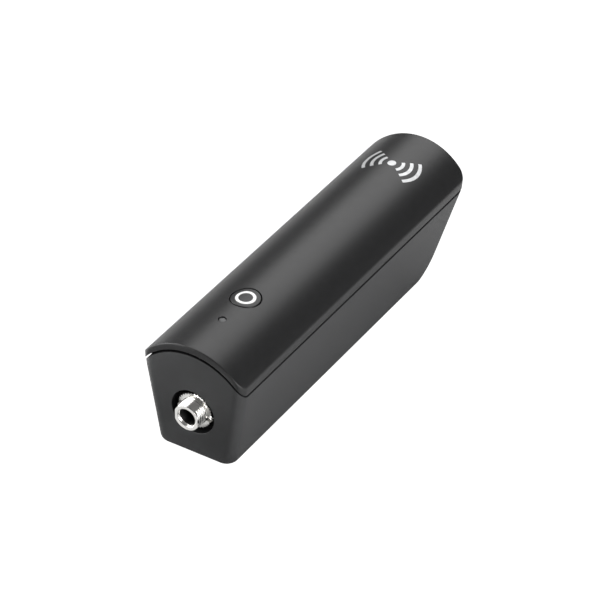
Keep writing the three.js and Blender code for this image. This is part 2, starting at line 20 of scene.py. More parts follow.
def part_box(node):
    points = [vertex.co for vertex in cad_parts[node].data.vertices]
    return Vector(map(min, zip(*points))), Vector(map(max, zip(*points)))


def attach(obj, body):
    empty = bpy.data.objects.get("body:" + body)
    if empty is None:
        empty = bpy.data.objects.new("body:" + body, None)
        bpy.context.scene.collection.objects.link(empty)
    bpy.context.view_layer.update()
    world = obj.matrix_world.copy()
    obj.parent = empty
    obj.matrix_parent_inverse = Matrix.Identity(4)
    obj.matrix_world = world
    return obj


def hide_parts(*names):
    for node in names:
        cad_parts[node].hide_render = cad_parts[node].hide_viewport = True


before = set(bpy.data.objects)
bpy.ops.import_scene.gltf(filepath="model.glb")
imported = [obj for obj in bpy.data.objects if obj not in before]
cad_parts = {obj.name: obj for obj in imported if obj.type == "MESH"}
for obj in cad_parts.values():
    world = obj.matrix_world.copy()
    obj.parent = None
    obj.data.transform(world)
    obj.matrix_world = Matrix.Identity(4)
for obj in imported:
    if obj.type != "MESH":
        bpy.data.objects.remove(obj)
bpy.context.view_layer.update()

LOG = logging.getLogger("transmitter")
MM = 0.001
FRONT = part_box("lower_shell")[0].y / MM
TAU = 2 * math.pi
HOUSING = "housing"
BUTTON = "button"
MERGE = 1e-7  # points nearer than this many metres become one
AXIS = 0.01  # radius in millimetres at which a turned piece closes on its axis
CASING_SHARP = 42.0  # edges of the casing that turn by more degrees than this stay sharp


# ------------------------------------------------------------------------------------------
# Colour and shader nodes


def linear(hex_colour: str) -> tuple[float, float, float, float]:
    """Turn an sRGB hex colour into the linear colour that shaders take.

    Args:
        hex_colour: Six hex digits with a leading hash.

    Returns:
        Linear red, green, blue and an alpha of one.
    """
    parts = [int(hex_colour[i : i + 2], 16) / 255 for i in (1, 3, 5)]
    curve = [c / 12.92 if c <= 0.04045 else ((c + 0.055) / 1.055) ** 2.4 for c in parts]
    return (*curve, 1.0)


def add_node(tree: bpy.types.NodeTree, kind: str, inputs: Optional[dict] = None,
             **settings: object) -> bpy.types.Node:
    """Add a node with its settings and its inputs.

    Args:
        tree: The node tree to add to.
        kind: The node's type name.
        inputs: Values or output sockets by input name or number.
        settings: Properties of the node itself.

    Returns:
        The new node.
    """
    node = tree.nodes.new(kind)
    for name, value in settings.items():
        setattr(node, name, value)
    for key, value in (inputs or {}).items():
        socket = node.inputs[key]
        if isinstance(value, bpy.types.NodeSocket):
            tree.links.new(value, socket)
        else:
            socket.default_value = value
    return node


class Grain(Enum):
    """How the small relief of a surface is laid out."""

    SPARK = "fine round pits, as a spark-eroded mould leaves"
    TURNED = "rings round the socket's axis, as a lathe leaves"
    ROLLED = "streaks along the body, as rolled sheet has"
    FOAM = "open cells"
    SMOOTH = "a faint long ripple, as polished or coated pieces have"


@dataclass(frozen=True)
class Finish:
    """One real surface: what it is made of, how it was made, and what that gives the eye."""

    name: str
    colour: str
    accent: str
    roughness: float
    grain: Grain = Grain.SMOOTH
    grain_size: float = 0.5
    relief: float = 0.002
    roughness_spread: float = 0.06
    metallic: float = 0.0
    ior: float = 1.5
    transmission: float = 0.0
    coat: float = 0.0

    def build(self) -> bpy.types.Material:
        """Make the material once and give it back on later calls.

        Returns:
            The Blender material of this finish.
        """
        if self.name in bpy.data.materials:
            return bpy.data.materials[self.name]
        material = bpy.data.materials.new(self.name)
        material.use_nodes = True
        tree = material.node_tree
        shader = tree.nodes["Principled BSDF"]
        relief = self._relief(tree)
        patches = add_node(tree, "ShaderNodeTexNoise", {
            "Vector": self._coordinates(tree), "Scale": 1 / (9 * self.grain_size * MM),
            "Detail": 3.0, "Roughness": 0.6})
        blend = add_node(tree, "ShaderNodeMapRange", {
            "Value": patches.outputs["Fac"], "From Min": 0.35, "From Max": 0.65})
        colour = add_node(tree, "ShaderNodeMix", {
            "Factor": blend.outputs["Result"], 6: linear(self.colour), 7: linear(self.accent)},
            data_type="RGBA")
        rough = add_node(tree, "ShaderNodeMapRange", {
            "Value": patches.outputs["Fac"], "From Min": 0.3, "From Max": 0.7,
            "To Min": self.roughness - self.roughness_spread,
            "To Max": self.roughness + self.roughness_spread})
        bump = add_node(tree, "ShaderNodeBump", {
            "Height": relief, "Distance": self.relief * MM, "Strength": 1.0})
        tree.links.new(colour.outputs[2], shader.inputs["Base Color"])
        tree.links.new(rough.outputs["Result"], shader.inputs["Roughness"])
        tree.links.new(bump.outputs["Normal"], shader.inputs["Normal"])
        shader.inputs["Metallic"].default_value = self.metallic
        shader.inputs["IOR"].default_value = self.ior
        shader.inputs["Transmission Weight"].default_value = self.transmission
        shader.inputs["Coat Weight"].default_value = self.coat
        return material

    def _coordinates(self, tree: bpy.types.NodeTree) -> bpy.types.NodeSocket:
        """Give the object coordinates, in metres in the part's own frame."""
        return add_node(tree, "ShaderNodeTexCoord").outputs["Object"]

    def _relief(self, tree: bpy.types.NodeTree) -> bpy.types.NodeSocket:
        """Add the nodes of the small relief.

        Args:
            tree: The material's node tree.

        Returns:
            The height, from zero to one.
        """
        scale = 1 / (self.grain_size * MM)
        place = self._coordinates(tree)
        if self.grain is Grain.FOAM:
            cells = add_node(tree, "ShaderNodeTexVoronoi", {"Vector": place, "Scale": scale})
            return cells.outputs["Distance"]
        if self.grain is Grain.TURNED:
            centre = (0.0, 0.0, LAYOUT.socket_height * MM)
            moved = add_node(tree, "ShaderNodeVectorMath", {0: place, 1: centre},
                             operation="SUBTRACT")
            flat = add_node(tree, "ShaderNodeVectorMath", {
                0: moved.outputs["Vector"], 1: (1.0, 0.0, 1.0)}, operation="MULTIPLY")
            radius = add_node(tree, "ShaderNodeVectorMath", {0: flat.outputs["Vector"]},
                              operation="LENGTH")
            along = add_node(tree, "ShaderNodeSeparateXYZ", {0: place})
            rings = add_node(tree, "ShaderNodeCombineXYZ", {
                "X": radius.outputs["Value"], "Y": along.outputs["Y"]})
            place = rings.outputs["Vector"]
        if self.grain is Grain.ROLLED:
            long = add_node(tree, "ShaderNodeMapping", {
                "Vector": place, "Scale": (1.0, 0.06, 1.0)})
            place = long.outputs["Vector"]
        detail = 2.0 if self.grain is Grain.SMOOTH else 4.0
        noise = add_node(tree, "ShaderNodeTexNoise", {
            "Vector": place, "Scale": scale, "Detail": detail, "Roughness": 0.55})
        return noise.outputs["Fac"]


# Polycarbonate blend moulded in a finely spark-eroded tool: near black, a soft wide highlight.
LID_PLASTIC = Finish("satin_polycarbonate", "#141415", "#161617", 0.40, Grain.SPARK, 0.16, 0.004,
                     0.015)
# The same blend from a coarser tool: a shade lighter, with no clear highlight. Its pits are drawn
# about three times as wide as the real ones, which would be too fine to show.
TUB_PLASTIC = Finish("matte_polycarbonate", "#262627", "#292a2b", 0.47, Grain.SPARK, 0.30, 0.040,
                     0.015)
# Painted shade: the tub's faces in its joint and its socket recess, coloured near black and dull.
RECESS_SHADE_PAINT = Finish("painted_recess_shade", "#08080a", "#0b0b0c", 0.9, Grain.SPARK, 0.3, 0.01,
                        ior=1.3)
# Plain black nylon of sockets and switches: darker and duller than the casing.
BLACK_NYLON = Finish("black_nylon", "#0c0c0d", "#101011", 0.5, Grain.SPARK, 0.3, 0.002)
# Nickel plate on turned brass: bright and slightly warm, with rings left by the lathe.
NICKEL = Finish("nickel_plate", "#efeeeb", "#e8e7e4", 0.2, Grain.TURNED, 0.07, 0.0006,
                0.03, 1.0)
# Tinned steel sheet: grey, streaked by rolling.
TIN = Finish("tinned_sheet", "#b4b6b8", "#a9abad", 0.33, Grain.ROLLED, 0.2, 0.0015, 0.07, 1.0)
# Bare phosphor bronze strip: yellow-brown, streaked by rolling.
BRONZE = Finish("phosphor_bronze", "#b98a4d", "#a87a40", 0.32, Grain.ROLLED, 0.2, 0.001, 0.06, 1.0)
# Zinc-plated steel screws: cool grey with a faint cloud.
STEEL = Finish("zinc_plated_steel", "#9fa3a8", "#8f9499", 0.34, Grain.SPARK, 0.15, 0.001, 0.06, 1.0)
# Gold flash on copper contacts: clean yellow metal.
GOLD = Finish("gold_flash", "#d9b25c", "#cfa750", 0.25, Grain.SMOOTH, 0.2, 0.0005, 0.04, 1.0)
# Green solder mask over glass cloth: a glossy film with a faint weave of tone.
MASK = Finish("solder_mask", "#12402a", "#16492f", 0.36, Grain.SMOOTH, 0.4, 0.004, coat=0.3)
# Epoxy resin of chip packages: dull black-grey, finely sanded.
RESIN = Finish("epoxy_resin", "#1b1b1d", "#212123", 0.6, Grain.SPARK, 0.1, 0.002)
# Fired low-temperature ceramic: off-white and dense.
CERAMIC = Finish("fired_ceramic", "#d6cdbc", "#cbc1ae", 0.48, Grain.SPARK, 0.12, 0.001)
# Smoked acrylic rod: dark glass that lets the status light through.
SMOKED_ACRYLIC = Finish("smoked_acrylic", "#4b4c4d", "#515253", 0.3, Grain.SMOOTH, 0.5, 0.001,
                        transmission=0.25, ior=1.49)
# Heat-shrunk polyester film round the cell: blue and glossy, slightly wavy.
WRAP = Finish("shrink_film", "#2a5d92", "#25548a", 0.3, Grain.SMOOTH, 2.5, 0.03, coat=0.4)
# Polyurethane foam tape: dark grey open cells, no highlight.
FOAM = Finish("foam_tape", "#4a4a4b", "#3c3c3d", 0.95, Grain.FOAM, 0.35, 0.08)
# Natural nylon of connectors: off-white and faintly waxy.
NATURAL_NYLON = Finish("natural_nylon", "#e4e0d6", "#dcd7cb", 0.45, Grain.SPARK, 0.3, 0.002)
# Silicone insulation of the leads: red and black, soft sheen.
RED_SILICONE = Finish("red_silicone", "#b01c1f", "#a3181b", 0.5, Grain.SMOOTH, 0.4, 0.003)
BLACK_SILICONE = Finish("black_silicone", "#131314", "#181819", 0.5, Grain.SMOOTH, 0.4, 0.003)
# Pad-printed ink on the casing: opaque, drier than the plastic under it.
WHITE_INK = Finish("white_pad_print", "#fdfdfc", "#f7f7f6", 0.5, Grain.SPARK, 0.12, 0.0015)
SILVER_INK = Finish("silver_pad_print", "#d4d5d6", "#c8c9ca", 0.42, Grain.SPARK, 0.12, 0.0015,
                    metallic=0.35)

NODE_FINISHES = {
    "socket_washer": STEEL, "socket_housing": BLACK_NYLON, "socket_ring_contact": BRONZE,
    "socket_tip_contact": BRONZE, "socket_sleeve_contact": BRONZE, "circuit_board": MASK,
    "board_screw_1": STEEL, "board_screw_2": STEEL, "board_screw_3": STEEL,
    "board_screw_4": STEEL, "audio_converter_chip": RESIN, "audio_processor_chip": RESIN,
    "crystal": TIN, "radio_chip": RESIN, "radio_shield_can": TIN, "charger_chip": RESIN,
    "power_inductor": RESIN, "chip_antenna": CERAMIC, "tact_switch_body": BLACK_NYLON,
    "tact_switch_plunger": NATURAL_NYLON, "status_led": CERAMIC, "battery_cell": WRAP,
    "lower_foam_pad": FOAM, "upper_foam_pad": FOAM, "battery_socket": NATURAL_NYLON,
    "battery_plug": NATURAL_NYLON, "battery_lead_red": RED_SILICONE,
    "battery_lead_black": BLACK_SILICONE, "charging_port_tongue": BLACK_NYLON,
}


# ------------------------------------------------------------------------------------------
# Making pieces


def mesh_piece(name: str, points: np.ndarray, faces: Sequence[Sequence[int]],
               finish: Finish, sharp: float = 40.0) -> bpy.types.Object:
    """Make a closed, smooth piece from points in millimetres counted from the front face.

    Args:
        name: Name of the piece.
        points: One row of x, y and z for each point.
        faces: Point numbers of each face.
        finish: The surface it gets.
        sharp: Edges that turn by more than this many degrees stay sharp.

    Returns:
        The new object, at the origin.
    """
    mesh = bpy.data.meshes.new(name)
    placed = (np.asarray(points, float) + (0.0, FRONT, 0.0)) * MM
    mesh.from_pydata(placed.tolist(), [], [list(face) for face in faces])
    tidy = bmesh.new()
    tidy.from_mesh(mesh)
    bmesh.ops.remove_doubles(tidy, verts=tidy.verts, dist=MERGE)
    bmesh.ops.dissolve_degenerate(tidy, dist=MERGE / 10, edges=tidy.edges)
    bmesh.ops.recalc_face_normals(tidy, faces=tidy.faces)
    tidy.to_mesh(mesh)
    tidy.free()
    mesh.materials.append(finish.build())
    smooth(mesh, sharp)
    piece = bpy.data.objects.new(name, mesh)
    bpy.context.scene.collection.objects.link(piece)
    return piece


def smooth(mesh: bpy.types.Mesh, sharp: float) -> None:
    """Shade a mesh smooth apart from edges that turn by more than the sharp angle in degrees."""
    mesh.shade_smooth()
    mesh.set_sharp_from_angle(angle=math.radians(sharp))


def bake_modifiers(piece: bpy.types.Object) -> None:
    """Turn a piece and its modifiers into a plain mesh.

    Args:
        piece: The piece to make plain.
    """
    graph = bpy.context.evaluated_depsgraph_get()
    graph.update()
    old = piece.data
    piece.data = bpy.data.meshes.new_from_object(piece.evaluated_get(graph))
    piece.modifiers.clear()
    piece.data.name = piece.name
    if old.users == 0:
        bpy.data.meshes.remove(old)


class Join(Enum):
    """What a second body does to the first."""

    ADD = "UNION"
    CUT = "DIFFERENCE"


def combine(piece: bpy.types.Object, tool: bpy.types.Object, how: Join) -> None:
    """Add a body to a piece or cut it away, and remove the tool.

    Args:
        piece: The piece that changes.
        tool: The body that is added or cut away.
        how: Whether to add or to cut.
    """
    change = piece.modifiers.new("change", "BOOLEAN")
    change.object = tool
    change.operation = how.value
    change.solver = "MANIFOLD"
    bake_modifiers(piece)
    bpy.data.objects.remove(tool)


def settle(piece: bpy.types.Object, body: str, slot: str, *nodes: str) -> None:
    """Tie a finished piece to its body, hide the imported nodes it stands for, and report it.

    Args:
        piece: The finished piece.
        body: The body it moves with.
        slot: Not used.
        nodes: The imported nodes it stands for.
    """
    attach(piece, body)
    if nodes:
        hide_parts(*nodes)
    LOG.info("%s: %d faces on %s", piece.name, len(piece.data.polygons), body)


def extruded(outline: Sequence[Sequence[float]], axis: str, low: float,
             high: float) -> tuple[np.ndarray, list]:
    """Extrude a flat outline along one axis.

    Args:
        outline: Corner points in the two other axes, in alphabetical order.
        axis: The axis it is extruded along, x, y or z.
        low: Where it starts on that axis.
        high: Where it ends.

    Returns:
        The points and the faces of the closed body.
    """
    flat = np.asarray(outline, float)
    count = len(flat)
    place = "xyz".index(axis)
    points = np.vstack([np.insert(flat, place, end, axis=1) for end in (low, high)])
    faces = [tuple(range(count))[::-1], tuple(range(count, 2 * count))]
    faces += [(i, (i + 1) % count, count + (i + 1) % count, count + i) for i in range(count)]
    return points, faces


def rounded_outline(width: float, height: float, corner: float, middle: float = 0.0,
                    steps: int = 8) -> list[tuple[float, float]]:
    """Give the outline of a rectangle with rounded corners.

    Args:
        width: Its size across.
        height: Its size upwards.
        corner: Its corner radius.
        middle: Height of its middle.
        steps: Steps round each corner.

    Returns:
        Corner points, across and up.
    """
    outline = []
    for quarter, (side, up) in enumerate(((1, 1), (-1, 1), (-1, -1), (1, -1))):
        for turn in np.linspace(0, math.pi / 2, steps + 1) + quarter * math.pi / 2:
            outline.append((side * (width / 2 - corner) + corner * math.cos(turn),
                            up * (height / 2 - corner) + corner * math.sin(turn) + middle))
    return outline


def joined(bodies: Sequence[tuple[np.ndarray, list]]) -> tuple[np.ndarray, list]:
    """Put several separate bodies into one list of points and one of faces.

    Args:
        bodies: Points and faces of each body.

    Returns:
        The points and the faces of all of them.
    """
    points, faces, count = [], [], 0
    for body_points, body_faces in bodies:
        points.append(body_points)
        faces += [tuple(i + count for i in face) for face in body_faces]
        count += len(body_points)
    return np.vstack(points), faces


def turned_points(profile: Sequence[Sequence[float]], segments: int,
                  shape: Optional[Callable] = None) -> tuple[np.ndarray, list]:
    """Turn a profile about an axis into points and faces.

    Args:
        profile: Radius and place along the axis of each ring. A profile that ends where it
            starts closes on itself, and any other is closed by a face at each end.
        segments: Points round each ring.
        shape: Gives each point's radius from its angle, its radius and its place.

    Returns:
        Points as side, side, along, and the faces between them.
    """
    angles = np.arange(segments) * TAU / segments
    rings = []
    for radius, place in profile:
        radii = shape(angles, radius, place) if shape else radius
        rings.append(np.column_stack([
            radii * np.cos(angles), radii * np.sin(angles), np.full(segments, place)]))
    faces = []
    for ring in range(len(profile) - 1):
        low, high = ring * segments, (ring + 1) * segments
        faces += [(low + i, low + (i + 1) % segments, high + (i + 1) % segments, high + i)
                  for i in range(segments)]
    if tuple(profile[0]) != tuple(profile[-1]):
        last = (len(profile) - 1) * segments
        faces.append(tuple(range(segments))[::-1])
        faces.append(tuple(range(last, last + segments)))
    return np.vstack(rings), faces


def along_body(points: np.ndarray, height: float) -> np.ndarray:
    """Lay points turned about Z along the body, about the line at a height above the base."""
    return np.column_stack([points[:, 0], points[:, 2], height - points[:, 1]])


def arc_steps(radius: float, steps: int) -> list[tuple[float, float]]:
    """Give how far a rounded edge has gone in and up at each step of a quarter turn."""
    turns = [math.pi / 2 * i / steps for i in range(steps + 1)]
    return [(radius * (1 - math.cos(t)), radius * math.sin(t)) for t in turns]


# ------------------------------------------------------------------------------------------
# The casing's outline


@dataclass(frozen=True)
class Outline:
    """Outline of the casing in millimetres, with y counted from the front face.

    The lid's upper face lies 0.015 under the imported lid's, which is the thickness of the ink.
    """

    half_width: float = 12.0
    length: float = 87.7
    half_underside: float = 9.05
    seam_height: float = 18.1
    seam_rise: float = 6.45
    cover_side: float = 20.335
    cover_rise: float = 6.15
    far_slant: float = math.radians(27.6)
    far_overhang: float = math.radians(10.7)
    far_fillet: float = 9.8
    underside_edge: float = 0.8
    front_edge: float = 0.2

    @property
    def side_angle(self) -> float:
        """Lean of the side faces from upright."""
        return math.atan2(self.half_width - self.half_underside, self.seam_height)

    @property
    def fillet_centre(self) -> float:
        """Place along the body where the underside starts to curve up."""
        foot = self.length - math.tan(self.far_slant) * self.seam_height
        return foot - self.far_fillet * math.tan((math.pi / 2 - self.far_slant) / 2)

    @staticmethod
    def rounding(height: np.ndarray, radius: float) -> np.ndarray:
        """Give how far a rounded lower edge pulls a face in at a height above that edge."""
        under = np.clip(radius - np.maximum(height, 0), 0, radius)
        return radius - np.sqrt(radius**2 - under**2)

    def side(self, z: np.ndarray, inset: float) -> np.ndarray:
        """Give half the width at each height.

        Args:
            z: Heights over the underside.
            inset: How far the surface lies inside the casing's outside.

        Returns:
            Half the width at each height.
        """
        taper = math.tan(self.side_angle) * np.maximum(self.seam_height - z, 0)
        edge = self.rounding(z - inset, max(self.underside_edge - inset, 0.3))
        return self.half_width - taper - inset / math.cos(self.side_angle) - edge

    def front(self, z: np.ndarray, inset: float) -> np.ndarray:
        """Give the place of the front face at each height."""
        return inset + self.rounding(z - inset, max(self.front_edge - inset, 0.2))

    def far(self, z: np.ndarray, inset: float) -> np.ndarray:
        """Give the place of the far face at each height: a fillet, a slant and an overhang.

        Args:
            z: Heights over the underside.
            inset: How far the surface lies inside the casing's outside.

        Returns:
            The place along the body at each height.
        """
        radius = self.far_fillet - inset
        top = self.far_fillet - radius * math.sin(self.far_slant)
        round_part = self.fillet_centre + np.sqrt(
            np.maximum(radius**2 - (self.far_fillet - np.minimum(z, top)) ** 2, 0))
        slanted = (self.length - math.tan(self.far_slant) * (self.seam_height - z)
                   - inset / math.cos(self.far_slant))
        upper = (self.length + math.tan(self.far_overhang) * (z - self.seam_height)
                 - inset / math.cos(self.far_overhang))
        return np.where(z < top, round_part, np.where(z <= self.seam_height, slanted, upper))

    def arch(self, x: np.ndarray, side: float, rise: float) -> np.ndarray:
        """Give the height of an arch of a given rise over edges at a given height."""
        radius = (self.half_width**2 + rise**2) / (2 * rise)
        return side + rise - radius + np.sqrt(radius**2 - np.asarray(x) ** 2)

    def seam(self, x: np.ndarray) -> np.ndarray:
        """Give the height of the tub's edge."""
        return self.arch(x, self.seam_height, self.seam_rise)

    def top(self, x: np.ndarray) -> np.ndarray:
        """Give the height of the lid's upper face."""
        return self.arch(x, self.cover_side, self.cover_rise)

    def over_seam(self, raised: float) -> Callable:
        """Give the rule of a loop that runs at a height over the tub's edge."""
        return lambda x: self.seam(x) + raised

    def under_top(self, lowered: float) -> Callable:
        """Give the rule of a loop that runs at a depth under the lid's upper face."""
        return lambda x: self.top(x) - lowered


OUTLINE = Outline()


class LoopSkin:
    """A closed skin of loops round the casing's plan, capped by a grid at both ends."""

    def __init__(self, across: int, corner: int, along: int) -> None:
        """Set how finely the plan is cut.

        Args:
            across: Steps over the straight part of each end.
            corner: Steps round each corner.
            along: Steps along the sides.
        """
        self.along = along
        turn = np.linspace(math.pi, 1.5 * math.pi, corner + 1)
        straight = np.linspace(-1, 1, across + 1)[1:-1]
        middle = np.concatenate([-np.ones(corner + 1), straight, np.ones(corner + 1)])
        bend_x = np.concatenate([np.cos(turn), 0 * straight, -np.cos(turn)[::-1]])
        bend_y = np.concatenate([np.sin(turn), 0 * straight - 1, np.sin(turn)[::-1]])
        steps = np.arange(1, along) / along
        self.columns = len(middle)
        one = np.ones(along - 1)
        self.middle = np.concatenate([middle, one, middle[::-1], -one])
        self.bend_x = np.concatenate([bend_x, one, bend_x[::-1], -one])
        self.bend_y = np.concatenate([bend_y, 0 * one, -bend_y[::-1], 0 * one])
        self.share = np.concatenate([0 * middle, steps, 0 * middle + 1, steps[::-1]])
        self.size = len(self.middle)
        self.points: list[np.ndarray] = []
        self.faces: list[tuple[int, ...]] = []
        self.rim = np.zeros((0, 3))
        self.last: Optional[int] = None
        self.count = 0

    def across(self, half: np.ndarray, corner: float) -> np.ndarray:
        """Give each loop point's x for a half width and a corner radius."""
        return self.middle * (half - corner) + corner * self.bend_x

    def loop(self, inset: float, corner: float, height: Callable) -> None:
        """Add a loop and stitch it to the one before.

        Args:
            inset: How far inside the casing's outline it runs.
            corner: Corner radius of this loop.
            height: Gives each point's height from its x at the widest level.
        """
        widest = OUTLINE.side(np.array(OUTLINE.seam_height), inset)
        z = height(self.across(widest, corner))
        x = self.across(OUTLINE.side(z, inset), corner)
        near = OUTLINE.front(z, inset) + corner
        far = OUTLINE.far(z, inset) - corner
        y = near + (far - near) * self.share + corner * self.bend_y
        start = self._append(np.column_stack([x, y, z]))
        if self.last is not None:
            for i in range(self.size):
                follow = (i + 1) % self.size
                self.faces.append(
                    (self.last + i, self.last + follow, start + follow, start + i))
        self.last = start
        self.rim = self.points[-1]

    def _append(self, points: np.ndarray) -> int:
        """Keep a block of points and count it.

        Args:
            points: The points to keep.

        Returns:
            The number of the first of them.
        """
        start = self.count
        self.points.append(points)
        self.count += len(points)
        return start

    def cap(self) -> None:
        """Close the last loop with a grid whose lines join points with the same x."""
        width, rows = self.columns, self.along + 1
        back = width + self.along - 1
        number = np.zeros((rows, width), int)
        number[0] = self.last + np.arange(width)
        number[-1] = self.last + back + np.arange(width)[::-1]
        number[1:-1, -1] = self.last + width + np.arange(self.along - 1)
        number[1:-1, 0] = self.last + back + width + np.arange(self.along - 1)[::-1]
        near, far = self.rim[:width], self.rim[back : back + width][::-1]
        share = (np.arange(1, self.along) / self.along)[:, None, None]
        inner = near[None, 1:-1] + (far - near)[None, 1:-1] * share
        inner[:, :, 2] = near[None, 1:-1, 2]
        start = self._append(inner.reshape(-1, 3))
        number[1:-1, 1:-1] = start + np.arange(inner[:, :, 0].size).reshape(inner.shape[:2])
        for row in range(rows - 1):
            for column in range(width - 1):
                self.faces.append((number[row, column], number[row, column + 1],
                                   number[row + 1, column + 1], number[row + 1, column]))

    def piece(self, name: str, finish: Finish) -> bpy.types.Object:
        """Make the finished piece from the skin."""
        return mesh_piece(name, np.vstack(self.points), self.faces, finish, CASING_SHARP)


# ------------------------------------------------------------------------------------------
# Layout inside the casing


@dataclass(frozen=True)
class Layout:
    """Places in millimetres that more than one sub-assembly needs."""

    wall: float = 1.8
    socket_height: float = 10.4
    board_top: float = 15.6
    button_place: float = 19.7
    light_place: float = 11.2
    emblem_place: float = 76.8
    front_posts: float = 19.05
    far_posts: float = 73.46
    post_side: float = 6.16
    hook_from_post: float = 12.0
    port_middle: float = 12.92
    port_mouth: float = 82.81
    port_foot: float = 75.46
    pocket_face: float = 83.01

    @property
    def hook_places(self) -> tuple[float, float]:
        """Places along the body of the lid's hooks."""
        return self.front_posts + self.hook_from_post, self.far_posts - self.hook_from_post


LAYOUT = Layout()


# ------------------------------------------------------------------------------------------
# Lid


@dataclass
class Lid:
    """Curved lid over the whole body, with its rim, hooks and holes."""

    corner: float = 1.8
    seam_gap: float = 0.4
    rim: float = 0.8
    rim_height: float = 0.6
    inner_corner: float = 1.4
    upper_edge: float = 0.2
    lower_edge: float = 0.06
    button_hole: float = 6.7
    light_hole: float = 1.7
    hole_edge: float = 0.08
    hook_length: float = 5.0
    hook_thickness: float = 1.0
    hook_catch: float = 0.55
    hook_bottom: float = 14.1
    hook_catch_height: float = 1.0
    hook_clearance: float = 0.3
    hook_chamfer: float = 0.2
    weld: float = 0.1
    plug_depth: float = 5.0
    plug_rise: float = 1.0
    flat_tolerance: float = 0.004

    def build(self) -> None:
        """Make the lid, cut its holes and hang its hooks."""
        lid = self._skin()
        combine(lid, self._hooks(), Join.ADD)
        combine(lid, self._holes(), Join.CUT)
        smooth(lid.data, CASING_SHARP)
        self._true_normals(lid)
        settle(lid, HOUSING, "cover_plastic", "top_cover")

    def _skin(self) -> bpy.types.Object:
        """Make the lid without holes, from its ceiling round its edge to its upper face.

        Returns:
            The closed lid.
        """
        skin = LoopSkin(across=44, corner=8, along=56)
        skin.loop(self.rim, self.inner_corner, OUTLINE.over_seam(self.seam_gap + self.rim_height))
        skin.cap()
        skin.loop(self.rim, self.inner_corner, OUTLINE.over_seam(self.seam_gap))
        edge = self.lower_edge
        for out, up in arc_steps(edge, 3):
            skin.loop(edge - up, self.corner - edge + up, OUTLINE.over_seam(self.seam_gap + out))
        edge = self.upper_edge
        skin.loop(0, self.corner, OUTLINE.under_top(edge + 0.1))
        for inward, up in arc_steps(edge, 5):
            skin.loop(inward, self.corner - inward, OUTLINE.under_top(edge - up))
        skin.loop(edge + 0.12, self.corner - edge - 0.12, OUTLINE.under_top(0))
        skin.cap()
        return skin.piece("lid", LID_PLASTIC)

    def _holes(self) -> bpy.types.Object:
        """Make the plugs that cut the button's and the light's holes with rounded rims.

        Returns:
            Both plugs as one tool.
        """
        plugs = []
        top = float(OUTLINE.top(0.0))
        edge = self.hole_edge
        for place, diameter in ((LAYOUT.button_place, self.button_hole),
                                (LAYOUT.light_place, self.light_hole)):
            radius = diameter / 2
            profile = [(radius, top - self.plug_depth)]
            profile += [(radius + edge * (1 - math.cos(turn)), top - edge * (1 - math.sin(turn)))
                        for turn in np.linspace(0, math.pi / 2 - 0.15, 5)]
            profile.append((radius + edge + 0.02, top + self.plug_rise))
            points, faces = turned_points(profile, 72)
            points[:, 2] += OUTLINE.top(points[:, 0]) - top
            points[:, 1] += place
            plugs.append((points, faces))
        points, faces = joined(plugs)
        return mesh_piece("hole_tool", points, faces, LID_PLASTIC)

    def _hooks(self) -> bpy.types.Object:
        """Make the hooks that hang inside the side walls.

        Returns:
            All four hooks as one tool.
        """
        bodies = []
        bottom, catch = self.hook_bottom, self.hook_bottom + self.hook_catch_height
        face = {z: float(OUTLINE.side(np.array(z), LAYOUT.wall)) - self.hook_clearance
                for z in (bottom, catch, OUTLINE.seam_height)}
        inner = face[bottom] - self.hook_thickness
        outer = face[OUTLINE.seam_height]
        rise = self.seam_gap + self.rim_height + self.weld
        shape = [(inner, bottom), (face[bottom], bottom),
                 (face[catch] + self.hook_catch, catch - self.hook_chamfer),
                 (face[catch] + self.hook_catch, catch), (face[catch], catch),
                 (outer, OUTLINE.seam_height), (outer, float(OUTLINE.seam(outer)) + rise),
                 (inner, float(OUTLINE.seam(inner)) + rise)]
        for middle in LAYOUT.hook_places:
            for side in (-1, 1):
                outline = [(side * x, z) for x, z in shape]
                bodies.append(extruded(outline, "y", middle - self.hook_length / 2,
                                       middle + self.hook_length / 2))
        points, faces = joined(bodies)
        return mesh_piece("hook_tool", points, faces, LID_PLASTIC)

    def _true_normals(self, lid: bpy.types.Object) -> None:
        """Give the upper face the arch's exact normals, so that the holes leave no dents.

        Args:
            lid: The finished lid.
        """
        mesh = lid.data
        corners = np.zeros(len(mesh.loops) * 3, np.float32)
        mesh.corner_normals.foreach_get("vector", corners)
        corners = corners.reshape(-1, 3)
        radius = (OUTLINE.half_width**2 + OUTLINE.cover_rise**2) / (2 * OUTLINE.cover_rise)
        for face in mesh.polygons:
            points = [mesh.vertices[i].co / MM for i in face.vertices]
            if face.normal.z < 0.4 or any(
                    abs(float(OUTLINE.top(p.x)) - p.z) > self.flat_tolerance for p in points):
                continue
            for loop in face.loop_indices:
                lean = mesh.vertices[mesh.loops[loop].vertex_index].co.x / MM / radius
                corners[loop] = (lean, 0, math.sqrt(1 - lean * lean))
        mesh.normals_split_custom_set(corners.tolist())


# ------------------------------------------------------------------------------------------
# Tub


